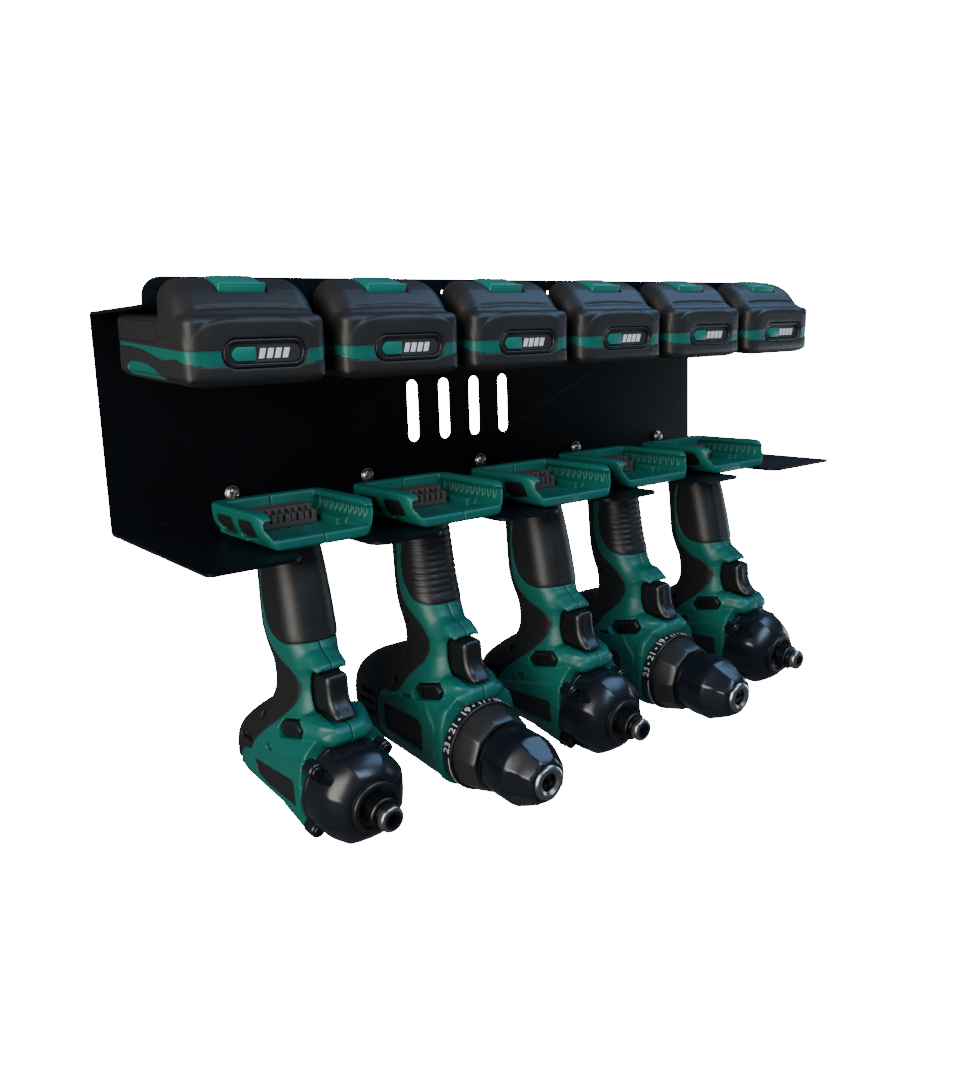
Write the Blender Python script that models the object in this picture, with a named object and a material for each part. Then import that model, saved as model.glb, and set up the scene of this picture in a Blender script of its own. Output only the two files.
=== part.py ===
"""A wall rack folded from one steel sheet, with six battery packs hanging under its top ledge
and five cordless tools hanging upside down in the slots of its shelf.

Metres, +Z up. The rack faces -Y, its back plate lies against the wall in the plane y = 0, and the
origin is the centre of the back plate's rear face.
"""

from math import cos, pi, radians, sin, tan

import bmesh
import bpy
from mathutils import Matrix, Vector

mm = 0.001

# Clearances
seat_gap = 0.3 * mm          # between pieces that rest on or fit in each other
overrun = 4 * mm             # how far a cutter runs past the face that it opens
split_gap = 0.3 * mm         # between the two halves of a tool's housing

# Rack: the folded sheet
sheet = 2 * mm
fold_radius = 3 * mm         # outer radius of each fold
back_height = 140.4 * mm
shelf_depth = 156.5 * mm
ledge_depth = 97.3 * mm
flange_height = 14.6 * mm    # above the ledge's top
flange_corner_radius = 11 * mm
shelf_corner_radius = 4 * mm

# Rack: holes
tool_count = 5
pack_count = 6
slot_width = 44 * mm
tongue_corner_radius = 9 * mm
slot_play = 3 * mm           # behind a handle that is pushed fully in
end_tongue_width = 20 * mm   # the least steel left outside the outer slots
vent_count = 4
vent_width = 11 * mm
vent_height = 48 * mm
vent_pitch = 30 * mm
vent_drop = 8 * mm           # the vents' centre below the plate's centre
rail_hole_diameter = 3.6 * mm
rail_hole_inset = 6.6 * mm   # from a pack's left side to its hole in the flange
rail_hole_rise = 8 * mm      # above the ledge's underside
round_end_share = 0.98       # of a slot's half width, the radius that makes its end round

# Wall screws
screw_count = 5
screw_left_inset = 82 * mm
screw_right_inset = 45.3 * mm
screw_rise = 17 * mm
screw_head_radius = 6.2 * mm
screw_head_height = 3.6 * mm
screw_shank_radius = 2.4 * mm
screw_shank_length = 28 * mm
screw_tip_length = 4 * mm
screw_tip_radius = 0.8 * mm
screw_recess_width = 3 * mm
screw_recess_depth = 1.6 * mm
screw_hole_radius = screw_shank_radius + seat_gap

# Battery pack
pack_width = 83 * mm
pack_gap = 10.34 * mm
pack_rear_gap = 34 * mm      # back plate's rear face to the pack's rear
pack_height = 36.5 * mm      # of the low rear part
pack_droop = radians(3.3)    # the nose hangs lower than the rear, by the play of its rails
nose_clearance = 4 * mm      # flange to the rear of the nose
nose_length = 38 * mm
nose_rise = 19.5 * mm        # above the low rear part
pack_edge_chamfer = 4 * mm
pack_edge_radius = 5 * mm
nose_shoulder_radius = 13 * mm
rail_length = 54 * mm
rail_rear_inset = 4 * mm
rail_neck_width = 42 * mm
rail_lip = 6 * mm
rail_thickness = 5 * mm
rail_play = 0.5 * mm         # sideways between the neck and its slot
window_play = 1.2 * mm       # round the rail where it passes the flange

# Pack: buttons
release_width = 28 * mm
release_length = 20 * mm
release_height = 9 * mm
release_travel = 3 * mm
release_slope = radians(20)
release_edge = 1 * mm
release_front_inset = 18.5 * mm   # from the nose's front to the button's front
release_rise = 17.5 * mm     # of its top's centre above the low rear part
gauge_width = 15 * mm
gauge_height = 8.4 * mm
gauge_thickness = 3.4 * mm
gauge_travel = 1 * mm
gauge_proud = 0.4 * mm
gauge_centre_shift = 11 * mm   # to the left of the pack's centre
gauge_drop = 21 * mm         # below the low rear part's top
bezel_width = 49 * mm
bezel_height = 15 * mm
bezel_depth = 1.4 * mm
bezel_centre_shift = 1.5 * mm  # to the right of the pack's centre

# Tool: the foot that takes a battery
foot_width = 76 * mm
foot_gap = 19.4 * mm
foot_rear = 28.5 * mm         # behind the handle's centre line
foot_front = 49 * mm         # in front of it
foot_height = 21.4 * mm
foot_floor = 3.6 * mm
foot_wall = 3.6 * mm
foot_rear_wall = 9 * mm
foot_lip = 6 * mm
foot_edge_width = 5 * mm      # of the slope along each lower side edge
foot_edge_height = 6 * mm
foot_lip_thickness = 4 * mm
foot_plan_radius = 11 * mm

# Tool: handle and barrel
tool_row_shift = 10.5 * mm   # the row's middle is this far left of the rack's
handle_inset = 88.6 * mm     # back plate's rear face to the centre line of a handle pushed fully in
handle_depth = 50 * mm
handle_width = 36 * mm
axis_drop = 141 * mm         # foot's underside to the barrel's axis at the handle's centre line
barrel_slope = radians(3.5)  # its nose is the lower end
barrel_radius = 29.5 * mm
barrel_rear = 58.5 * mm      # behind the handle's centre line
driver_barrel_front = 54 * mm
drill_barrel_front = 55 * mm

# Tool: trigger and direction switch
trigger_width = 16 * mm
trigger_length = 33 * mm
trigger_height = 26 * mm
trigger_travel = 6 * mm
trigger_front = 62 * mm      # in front of the handle's centre line
trigger_drop = 77.5 * mm     # foot's underside to the trigger's top
trigger_hollow = 12 * mm     # how far its face bows in
trigger_edge = 2 * mm
switch_length = 27 * mm
switch_height = 8.4 * mm
switch_slope = radians(12)   # its front end is the higher one
switch_proud = 0.4 * mm      # still outside the housing on the side that is pushed in
switch_travel = 2 * mm       # each way from its middle place
switch_front = 32.5 * mm     # its centre in front of the handle's centre line
switch_drop = 111 * mm

# Tool: terminal block
block_width = 40 * mm
block_length = 22 * mm
block_height = 11.5 * mm
block_slot_count = 4
block_slot_width = 1.8 * mm
block_slot_depth = 7 * mm

# Impact driver: gear case and bit holder
case_length = 36 * mm
case_radius = 29 * mm
case_front_radius = 15.5 * mm
lug_radius = 5 * mm
lug_length = 10 * mm
lug_circle_radius = 29.6 * mm
lug_angle = radians(38)      # of each lug above or below the axis
holder_length = 16 * mm
holder_radius = 9.4 * mm
holder_groove_radius = 6.2 * mm
holder_tip_radius = 7.6 * mm
holder_shaft_radius = 6 * mm
holder_shaft_length = 16 * mm
bit_bore_flats = 7.0 * mm
bit_bore_depth = 20 * mm

# Drill: clutch collar and chuck
spigot_radius = 19 * mm
spigot_length = 26 * mm
collar_radius = 29.5 * mm
collar_length = 25.5 * mm
chuck_length = 43 * mm
chuck_radius = 23 * mm
chuck_tip_radius = 10 * mm
chuck_shaft_radius = 6.5 * mm
chuck_shaft_length = 18 * mm
chuck_bore_radius = 5.4 * mm
chuck_bore_depth = 26 * mm

# Derived rack sizes
pack_pitch = pack_width + pack_gap
tool_pitch = foot_width + foot_gap
pack_row_width = pack_count * pack_pitch
tool_row_width = (tool_count - 1) * tool_pitch + slot_width + 2 * (end_tongue_width + tool_row_shift)
rack_width = max(pack_row_width, tool_row_width)
rack_bottom = -back_height / 2
ledge_top = back_height / 2
ledge_underside = ledge_top - sheet
flange_top = ledge_top + flange_height
shelf_top = rack_bottom + sheet
screw_pitch = (rack_width - screw_left_inset - screw_right_inset) / (screw_count - 1)
slot_end_radius = slot_width / 2

# Derived pack sizes, in the pack's own frame: y = 0 at its rear, z = 0 at its low top
nose_rear = ledge_depth - pack_rear_gap + nose_clearance
pack_length = nose_rear + nose_length
rail_slot_half = rail_neck_width / 2 + rail_play
rail_half = rail_neck_width / 2 + rail_lip
rail_groove = sheet + 2 * seat_gap + (ledge_depth - pack_rear_gap) * tan(pack_droop)
rail_top = rail_groove + rail_thickness
window_height = rail_top - (ledge_depth - pack_rear_gap) * tan(pack_droop) + window_play

# How finely round shapes are divided
fold_steps = 3
corner_steps = 4
shoulder_steps = 3
round_steps = 16
small_round_steps = 10
ring_half_steps = 6
hexagon = 6
smooth_angle = radians(35)


# Colours and finishes

def finish(name, colour, roughness, metallic=0.0):
    material = bpy.data.materials.new(name)
    material.use_nodes = True
    shader = material.node_tree.nodes["Principled BSDF"]
    shader.inputs["Base Color"].default_value = (*colour, 1.0)
    shader.inputs["Roughness"].default_value = roughness
    shader.inputs["Metallic"].default_value = metallic
    material.diffuse_color = (*colour, 1.0)
    return material


def make_finishes():
    return {
        "steel_coat": finish("black_powder_coat", (0.012, 0.014, 0.018), 0.45),
        "zinc": finish("bright_zinc", (0.55, 0.56, 0.58), 0.3, 1.0),
        "pack": finish("charcoal_plastic", (0.045, 0.043, 0.042), 0.5),
        "teal": finish("teal_plastic", (0.0, 0.11, 0.085), 0.42),
        "button": finish("teal_button_plastic", (0.005, 0.17, 0.13), 0.4),
        "black": finish("black_plastic", (0.012, 0.012, 0.013), 0.4),
        "gear_case": finish("dark_grey_gloss", (0.03, 0.032, 0.036), 0.25),
        "terminal": finish("brown_grey_plastic", (0.09, 0.07, 0.06), 0.6),
        "dark_steel": finish("dark_steel", (0.08, 0.085, 0.09), 0.3, 1.0),
    }


# Mesh helpers

def object_of(name, bm, material=None):
    bmesh.ops.recalc_face_normals(bm, faces=bm.faces)
    mesh = bpy.data.meshes.new(name)
    bm.to_mesh(mesh)
    bm.free()
    return place_mesh(name, mesh, material)


def place_mesh(name, mesh, material=None, parent=None, location=(0, 0, 0)):
    thing = bpy.data.objects.new(name, mesh)
    bpy.context.scene.collection.objects.link(thing)
    if material is not None:
        mesh.materials.clear()
        mesh.materials.append(material)
    thing.parent = parent
    thing.location = location
    return thing


def empty_at(name, location, rotation=(0, 0, 0)):
    empty = bpy.data.objects.new(name, None)
    bpy.context.scene.collection.objects.link(empty)
    empty.location = location
    empty.rotation_euler = rotation
    return empty


def loft(name, rings):
    """Joins rings of equally many points by quads and closes both ends."""
    bm = bmesh.new()
    rows = [[bm.verts.new(point) for point in ring] for ring in rings]
    count = len(rows[0])
    for lower, upper in zip(rows, rows[1:]):
        for i in range(count):
            j = (i + 1) % count
            bm.faces.new((lower[i], lower[j], upper[j], upper[i]))
    bm.faces.new(rows[0])
    bm.faces.new(rows[-1])
    return object_of(name, bm)


def prism(name, outline, start, end, axis):
    """Extrudes an outline along x, y or z; its points are the two other coordinates in order."""
    def point(pair, depth):
        values = list(pair)
        values.insert("xyz".index(axis), depth)
        return values

    return loft(name, [[point(pair, start) for pair in outline], [point(pair, end) for pair in outline]])


def box(name, low, high):
    outline = [(low[0], low[1]), (high[0], low[1]), (high[0], high[1]), (low[0], high[1])]
    return prism(name, outline, low[2], high[2], "z")


def turned_row(forward, radius, sides):
    angles = [2 * pi * i / sides for i in range(sides)]
    return [(radius * sin(a), -forward, radius * cos(a)) for a in angles]


def turned(name, profile, sides):
    """Turns (distance forward, radius) pairs about the y axis; forward is -y."""
    return loft(name, [turned_row(forward, radius, sides) for forward, radius in profile])


def ring_body(name, profile, sides):
    """A turned body whose closed profile goes round a bore."""
    bm = bmesh.new()
    rows = []
    for forward, radius in profile:
        rows.append([bm.verts.new(point) for point in turned_row(forward, radius, sides)])
    for k, row in enumerate(rows):
        following = rows[(k + 1) % len(rows)]
        for i in range(sides):
            j = (i + 1) % sides
            bm.faces.new((row[i], row[j], following[j], following[i]))
    return object_of(name, bm)


def rounded(corners, radii, steps):
    """An outline with each corner turned into an arc of its own radius."""
    points = []
    count = len(corners)
    for i, corner in enumerate(corners):
        here = Vector(corner)
        before = (Vector(corners[i - 1]) - here).normalized()
        after = (Vector(corners[(i + 1) % count]) - here).normalized()
        radius = radii[i]
        if radius == 0:
            points.append(tuple(here))
            continue
        half = before.angle(after) / 2
        reach = radius / tan(half)
        centre = here + (before + after).normalized() * (radius / sin(half))
        start = here + before * reach - centre
        turn = pi - 2 * half
        sign = 1 if before.cross(after) < 0 else -1
        for k in range(steps + 1):
            a = sign * turn * k / steps
            points.append((
                centre.x + start.x * cos(a) - start.y * sin(a),
                centre.y + start.x * sin(a) + start.y * cos(a),
            ))
    return points


def combine(target, tool, operation):
    """Joins, cuts or intersects two bodies and leaves the result in the first."""
    modifier = target.modifiers.new(operation.lower(), "BOOLEAN")
    modifier.operation = operation
    modifier.object = tool
    settle(target)
    bpy.data.objects.remove(tool)


def settle(target):
    """Turns an object's modifiers into its own mesh."""
    bpy.context.view_layer.update()
    evaluated = target.evaluated_get(bpy.context.evaluated_depsgraph_get())
    mesh = bpy.data.meshes.new_from_object(evaluated)
    target.modifiers.clear()
    target.data = mesh


def cut(target, tool):
    combine(target, tool, "DIFFERENCE")


def join(target, tool):
    combine(target, tool, "UNION")


def keep(target, tool):
    combine(target, tool, "INTERSECT")


def soften(target, width):
    bevel = target.modifiers.new("edges", "BEVEL")
    bevel.width = width
    bevel.segments = 1
    bevel.limit_method = "ANGLE"
    settle(target)


def take_mesh(target):
    """The finished mesh of a scratch body, smooth where it is round."""
    mesh = target.data
    bpy.data.objects.remove(target)
    mesh.shade_smooth()
    mesh.set_sharp_from_angle(angle=smooth_angle)
    return mesh


def mirrored(mesh, name):
    """The other hand of a mesh, across the plane x = 0."""
    bm = bmesh.new()
    bm.from_mesh(mesh)
    bmesh.ops.transform(bm, matrix=Matrix.Scale(-1, 4, (1, 0, 0)), verts=bm.verts)
    bmesh.ops.reverse_faces(bm, faces=bm.faces)
    other = bpy.data.meshes.new(name)
    bm.to_mesh(other)
    bm.free()
    other.set_sharp_from_angle(angle=smooth_angle)
    return other


def bore_radius(shaft_radius):
    """The radius of a faceted bore whose flats stay clear of a round shaft."""
    return (shaft_radius + seat_gap) / cos(pi / round_steps)


def row_places(count, pitch):
    return [pitch * (i - (count - 1) / 2) for i in range(count)]


def tool_places():
    return [x - tool_row_shift for x in row_places(tool_count, tool_pitch)]


# Rack

def sheet_outline():
    """The folded sheet seen from its end, as (y, z) pairs."""
    inner = fold_radius - sheet
    corners_and_radii = [
        ((-shelf_depth, rack_bottom), 0),
        ((0, rack_bottom), fold_radius),
        ((0, ledge_top), fold_radius),
        ((-ledge_depth + sheet, ledge_top), inner),
        ((-ledge_depth + sheet, flange_top), 0),
        ((-ledge_depth, flange_top), 0),
        ((-ledge_depth, ledge_underside), fold_radius),
        ((-sheet, ledge_underside), inner),
        ((-sheet, shelf_top), inner),
        ((-shelf_depth, shelf_top), 0),
    ]
    corners = [pair[0] for pair in corners_and_radii]
    return rounded(corners, [pair[1] for pair in corners_and_radii], fold_steps)


def shelf_blank():
    """The shelf's outline from above, with the tool slots open at its front."""
    half = rack_width / 2
    front = -shelf_depth
    back = overrun
    corners = [(-half, back), (-half, front)]
    radii = [0, shelf_corner_radius]
    slot_end = -handle_inset + handle_depth / 2 + slot_play
    for x in tool_places():
        left = x - slot_end_radius
        right = x + slot_end_radius
        corners += [(left, front), (left, slot_end), (right, slot_end), (right, front)]
        radii += [
            tongue_corner_radius,
            slot_end_radius * round_end_share,
            slot_end_radius * round_end_share,
            tongue_corner_radius,
        ]
    corners += [(half, front), (half, back)]
    radii += [shelf_corner_radius, 0]
    return rounded(corners, radii, corner_steps)


def build_rack(finishes):
    half = rack_width / 2
    rack = prism("rack", sheet_outline(), -half, half, "x")
    low = rack_bottom - overrun
    trim = box("trim", (-half - overrun, -shelf_depth - overrun, low), (half + overrun, overrun, shelf_top))
    cut(trim, prism("blank", shelf_blank(), low - overrun, shelf_top + overrun, "z"))
    cut(rack, trim)
    flange_outline = rounded(
        [(-half, low), (-half, flange_top), (half, flange_top), (half, low)],
        [0, flange_corner_radius, flange_corner_radius, 0],
        corner_steps,
    )
    keep(rack, prism("ends", flange_outline, -shelf_depth - overrun, overrun, "y"))
    for x in row_places(pack_count, pack_pitch):
        slot_rear = -pack_rear_gap - rail_rear_inset + rail_play
        cut(rack, box(
            "rail_slot",
            (x - rail_slot_half, -ledge_depth - overrun, ledge_underside - overrun),
            (x + rail_slot_half, slot_rear, ledge_top + overrun),
        ))
        cut(rack, box(
            "rail_window",
            (x - rail_half - window_play, -ledge_depth - overrun, ledge_underside - overrun),
            (x + rail_half + window_play, -ledge_depth + fold_radius, ledge_underside + window_height),
        ))
        radius = rail_hole_diameter / 2
        hole = turned("rail_hole", [(0, radius), (ledge_depth, radius)], small_round_steps)
        hole.location = (
            x - pack_width / 2 + rail_hole_inset,
            -ledge_depth / 2,
            ledge_underside + rail_hole_rise,
        )
        cut(rack, hole)
    for x in row_places(vent_count, vent_pitch):
        cut(rack, vent_cutter(x))
    hole_profile = [(-overrun, screw_hole_radius), (overrun, screw_hole_radius)]
    for x in screw_places():
        hole = turned("screw_hole", hole_profile, small_round_steps)
        hole.location = (x, 0, rack_bottom + screw_rise)
        cut(rack, hole)
    place_mesh("rack", take_mesh(rack), finishes["steel_coat"])


def vent_cutter(x):
    """A round-ended slot through the back plate."""
    radius = vent_width / 2
    low = -vent_drop - vent_height / 2
    high = -vent_drop + vent_height / 2
    corners = [(x - radius, low), (x + radius, low), (x + radius, high), (x - radius, high)]
    outline = rounded(corners, [radius * round_end_share] * 4, corner_steps)
    return prism("vent", outline, -overrun, overrun, "y")


def screw_places():
    first = -rack_width / 2 + screw_left_inset
    return [first + i * screw_pitch for i in range(screw_count)]


# The screw head's dome: angles up a quarter circle, as shares of it
dome_shares = [0.0, 0.4, 0.8]


def build_wall_screws(finishes):
    base = sheet + seat_gap
    profile = [
        (-screw_shank_length, screw_tip_radius),
        (-screw_shank_length + screw_tip_length, screw_shank_radius),
        (base, screw_shank_radius),
    ]
    for share in dome_shares:
        a = pi / 2 * share
        profile.append((base + screw_head_height * sin(a), screw_head_radius * cos(a)))
    screw = turned("screw", profile, small_round_steps)
    recess_bottom = base + screw_head_height - screw_recess_depth
    recess = [(recess_bottom, screw_recess_width / 2), (recess_bottom + overrun, screw_recess_width / 2)]
    cut(screw, turned("recess", recess, hexagon))
    mesh = take_mesh(screw)
    for i, x in enumerate(screw_places(), 1):
        place_mesh(f"wall_screw_{i}", mesh, finishes["zinc"], location=(x, 0, rack_bottom + screw_rise))


# Battery packs

# Rows along the nose: distance from its rear, top's height, half width, shoulder radius
nose_row_shares = [
    (0.012, 0.95, 1.000, 0.9),
    (0.05, 1.00, 1.000, 1.0),
    (0.25, 0.93, 0.995, 1.1),
    (0.48, 0.70, 0.985, 1.2),
    (0.62, 0.42, 0.975, 1.2),
    (0.70, 0.24, 0.970, 1.1),
    (0.88, 0.06, 0.955, 0.9),
    (0.955, -0.12, 0.925, 0.8),
    (0.985, -0.30, 0.885, 0.7),
    (1.000, -0.50, 0.840, 0.6),
]


def pack_ring(forward, top, half_width, shoulder_radius):
    """A section of a pack, as one ring: a chamfer at each lower corner, round shoulders above."""
    low = -pack_height
    bottom = [
        (-half_width, low + pack_edge_chamfer), (-half_width + pack_edge_chamfer, low),
        (half_width - pack_edge_chamfer, low), (half_width, low + pack_edge_chamfer),
    ]
    corners = [(-half_width, low), (half_width, low), (half_width, top), (-half_width, top)]
    shoulders = rounded(corners, [0, 0, shoulder_radius, shoulder_radius], shoulder_steps)[2:]
    return [(x, -forward, z) for x, z in bottom + shoulders]


def pack_body():
    half = pack_width / 2
    rear_step = pack_edge_radius / 2
    rings = [
        pack_ring(0, -rear_step, half - rear_step, pack_edge_radius),
        pack_ring(rear_step, 0, half, pack_edge_radius),
        pack_ring(nose_rear, 0, half, pack_edge_radius),
    ]
    for along, top, width, shoulder in nose_row_shares:
        forward = nose_rear + nose_length * along
        rings.append(pack_ring(forward, nose_rise * top, half * width, nose_shoulder_radius * shoulder))
    return loft("pack_body", rings)


def pack_rail():
    """The neck and the lips that hold the pack in the ledge's slot."""
    neck = rail_neck_width / 2
    low = -pack_edge_radius
    outline = [
        (-neck, low), (neck, low), (neck, rail_groove), (rail_half, rail_groove),
        (rail_half, rail_top), (-rail_half, rail_top), (-rail_half, rail_groove), (-neck, rail_groove),
    ]
    return prism("rail", outline, -rail_rear_inset, -rail_rear_inset - rail_length, "y")


def release_frame():
    """Where the release button's top centre is, and how its top slopes forward."""
    forward = pack_length - release_front_inset - release_length / 2
    return Matrix.Translation((0, -forward, release_rise)) @ Matrix.Rotation(release_slope, 4, "X")


def release_block(name, clearance, depth, above=0):
    half = release_width / 2 + clearance
    long = release_length / 2 + clearance
    block = box(name, (-half, -long, -depth), (half, long, above))
    block.data.transform(release_frame())
    return block


def gauge_outline(width, height, shift):
    """A stadium on the nose's front, as (x, z) pairs."""
    radius = height / 2
    corners = [
        (shift - width / 2, -gauge_drop - radius), (shift + width / 2, -gauge_drop - radius),
        (shift + width / 2, -gauge_drop + radius), (shift - width / 2, -gauge_drop + radius),
    ]
    return rounded(corners, [radius * round_end_share] * 4, corner_steps)


def build_packs(finishes):
    front = -pack_length
    case = pack_body()
    join(case, pack_rail())
    pocket_depth = release_height + release_travel + seat_gap
    cut(case, release_block("release_pocket", seat_gap, pocket_depth, overrun))
    bezel = gauge_outline(bezel_width, bezel_height, bezel_centre_shift)
    cut(case, prism("bezel", bezel, front + bezel_depth, front - overrun, "y"))
    hole = gauge_outline(gauge_width + 2 * seat_gap, gauge_height + 2 * seat_gap, -gauge_centre_shift)
    hole_bottom = front + gauge_thickness - gauge_proud + gauge_travel + seat_gap
    cut(case, prism("gauge_hole", hole, hole_bottom, front - overrun, "y"))
    case_mesh = take_mesh(case)

    release = release_block("release", 0, release_height)
    soften(release, release_edge)
    release_mesh = take_mesh(release)

    outline = gauge_outline(gauge_width, gauge_height, -gauge_centre_shift)
    gauge_front = front - gauge_proud
    gauge = prism("gauge", outline, gauge_front, gauge_front + gauge_thickness, "y")
    gauge_mesh = take_mesh(gauge)

    for i, x in enumerate(row_places(pack_count, pack_pitch), 1):
        place = (x, -pack_rear_gap, ledge_underside - seat_gap)
        frame = empty_at(f"pack_{i}", place, (pack_droop, 0, 0))
        place_mesh(f"pack_{i}_case", case_mesh, finishes["pack"], frame)
        place_mesh(f"pack_{i}_release_button", release_mesh, finishes["button"], frame)
        place_mesh(f"pack_{i}_gauge_button", gauge_mesh, finishes["button"], frame)


# Tools

# How far each tool is drawn out of its slot, to the handle's depth
tool_drawn_shares = [0.0, 0.13, 0.22, 0.0, 0.03]

# Rows down the grip: drop from the foot, front, rear, half width and squareness of the section,
# and how much of the barrel's slope it has
driver_row_shares = [
    (-0.016, 0.38, 0.46, 0.47, 2.2, 0),
    (0.168, 0.48, 0.38, 0.49, 2.2, 0),
    (0.364, 0.58, 0.35, 0.50, 2.2, 0),
    (0.494, 0.64, 0.32, 0.51, 2.2, 0),
    (0.575, 0.68, 0.28, 0.49, 2.2, 0),
    (0.629, 0.77, 0.25, 0.46, 2.2, 0),
    (0.662, 0.90, 0.23, 0.44, 2.3, 0),
    (0.686, 0.91, 0.22, 0.42, 2.4, 0),
    (0.703, 0.80, 0.21, 0.41, 2.6, 0),
    (0.792, 0.78, 0.18, 0.41, 2.6, 0),
    (0.841, 0.78, 0.18, 0.42, 2.6, 0.2),
    (0.885, 1.04, 0.20, 0.46, 2.6, 0.5),
    (0.907, 1.38, 0.22, 0.49, 2.6, 1),
    (0.930, 1.43, 0.25, 0.51, 2.8, 1),
    (0.955, 1.41, 0.30, 0.54, 3.0, 1),
]
drill_row_shares = [
    (-0.016, 0.34, 0.46, 0.47, 2.2, 0),
    (0.168, 0.38, 0.41, 0.48, 2.2, 0),
    (0.364, 0.45, 0.38, 0.49, 2.2, 0),
    (0.494, 0.52, 0.34, 0.50, 2.2, 0),
    (0.575, 0.58, 0.31, 0.49, 2.2, 0),
    (0.629, 0.70, 0.28, 0.46, 2.2, 0),
    (0.662, 0.84, 0.26, 0.44, 2.3, 0),
    (0.686, 0.85, 0.25, 0.42, 2.4, 0),
    (0.703, 0.76, 0.24, 0.41, 2.6, 0),
    (0.792, 0.75, 0.24, 0.41, 2.6, 0),
    (0.841, 0.76, 0.46, 0.44, 2.6, 0.2),
    (0.885, 1.04, 0.64, 0.52, 2.6, 0.5),
    (0.907, 1.38, 0.77, 0.55, 2.6, 1),
    (0.930, 1.43, 0.87, 0.57, 2.8, 1),
    (0.955, 1.41, 0.95, 0.59, 3.0, 1),
]
# Rows down the barrel: height from its axis and half width, both to its radius
barrel_row_shares = [
    (1.06, 0.71),
    (0.80, 0.88),
    (0.50, 0.98),
    (0.15, 1.02),
    (-0.30, 0.98),
    (-0.62, 0.84),
    (-0.86, 0.58),
    (-0.98, 0.26),
]
driver_rear_shares = [0.31, 0.45, 0.60, 0.68, 0.66, 0.58, 0.37, 0.13]
drill_rear_shares = [0.86, 0.97, 1.0, 1.0, 0.94, 0.79, 0.55, 0.20]
barrel_squareness = 7


def nose_place(forward):
    """The place on the barrel's axis at a distance forward of the handle's centre line."""
    turn = Matrix.Rotation(barrel_slope, 4, "X")
    return Matrix.Translation((0, 0, -axis_drop)) @ turn @ Matrix.Translation((0, -forward, 0))


def half_ring(front, rear, half_width, squareness, z, slope):
    """The +x half of a rounded section between y = -front and y = rear, turned with the barrel."""
    middle = (rear - front) / 2
    depth = (rear + front) / 2
    points = []
    for k in range(ring_half_steps + 1):
        a = -pi / 2 + pi * k / ring_half_steps
        x = half_width * max(cos(a), 0) ** (2 / squareness)
        y = abs(sin(a)) ** (2 / squareness) * (1 if a > 0 else -1)
        spot = Matrix.Rotation(slope, 2) @ Vector((middle + depth * y, z + axis_drop))
        points.append((max(x, split_gap / 2), spot.x, spot.y - axis_drop))
    return points


def grip_half(barrel_front, is_drill):
    """Handle, trigger guard and barrel of a housing's +x half, as one body."""
    grip_length = axis_drop - barrel_radius
    rings = []
    row_shares = drill_row_shares if is_drill else driver_row_shares
    for drop, front, rear, width, squareness, sloped in row_shares:
        rings.append(half_ring(
            handle_depth * front, handle_depth * rear, handle_width * width, squareness,
            -grip_length * drop, barrel_slope * sloped,
        ))
    rear_shares = drill_rear_shares if is_drill else driver_rear_shares
    for (height, width), rear in zip(barrel_row_shares, rear_shares):
        rings.append(half_ring(
            barrel_front, barrel_rear * rear, barrel_radius * width, barrel_squareness,
            -axis_drop + barrel_radius * height, barrel_slope,
        ))
    return loft("grip", rings)


# The foot from the side: where its sloping heel starts, and the radii of its five corners
foot_heel_share = 0.55
foot_radius_shares = [0.15, 0.3, 0.1, 0, 0.62]


def foot_half():
    """The +x half of the shoe that takes a battery: floor, side wall with its lip, rear wall."""
    half = foot_width / 2
    inner = half - foot_wall
    lip = inner - foot_lip
    low = split_gap / 2
    section = [
        (low, 0), (half - foot_edge_width, 0), (half, foot_edge_height), (half, foot_height), (lip, foot_height),
        (lip, foot_height - foot_lip_thickness), (inner, foot_height - foot_lip_thickness),
        (inner, foot_floor), (low, foot_floor),
    ]
    foot = prism("foot", section, -foot_front, foot_rear - foot_rear_wall / 2, "y")
    join(foot, box("rear_wall", (low, foot_rear - foot_rear_wall, 0), (half, foot_rear, foot_height)))
    plan = rounded(
        [(-half, -foot_front), (half, -foot_front), (half, foot_rear), (-half, foot_rear)],
        [foot_plan_radius] * 4,
        corner_steps,
    )
    keep(foot, prism("plan", plan, -overrun, foot_height + overrun, "z"))
    side = rounded(
        [
            (-foot_front, 0), (foot_rear * foot_heel_share, 0), (foot_rear, foot_height * foot_heel_share),
            (foot_rear, foot_height), (-foot_front, foot_height),
        ],
        [foot_height * share for share in foot_radius_shares],
        corner_steps,
    )
    keep(foot, prism("side", side, -foot_width, foot_width, "x"))
    return foot


# The trigger's face from its toe up: how far it bows in, and the height there
trigger_face_shares = [(0.0, 0.04), (0.15, 0.16), (0.78, 0.34), (0.95, 0.6), (0.95, 0.88), (1.2, 1.0)]


def trigger_outline():
    """The trigger from the side, as (y, z) pairs."""
    bottom = -trigger_drop - trigger_height
    rear = -trigger_front + trigger_length
    outline = [(rear, -trigger_drop), (rear, bottom)]
    for inward, height in trigger_face_shares:
        outline.append((-trigger_front + trigger_hollow * inward, bottom + trigger_height * height))
    return outline


switch_shoulder_share = 0.8   # of its half height, how long each pointed end is


def switch_outline(clearance):
    """The direction switch's lozenge, as (y, z) pairs."""
    long = switch_length / 2 + clearance
    high = switch_height / 2 + clearance
    shoulder = long - high * switch_shoulder_share
    corners = [(-long, 0), (-shoulder, -high), (shoulder, -high), (long, 0), (shoulder, high), (-shoulder, high)]
    turn = Matrix.Rotation(-switch_slope, 2)
    centre = Vector((-switch_front, -switch_drop))
    return [tuple(centre + turn @ Vector(corner)) for corner in corners]


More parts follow.
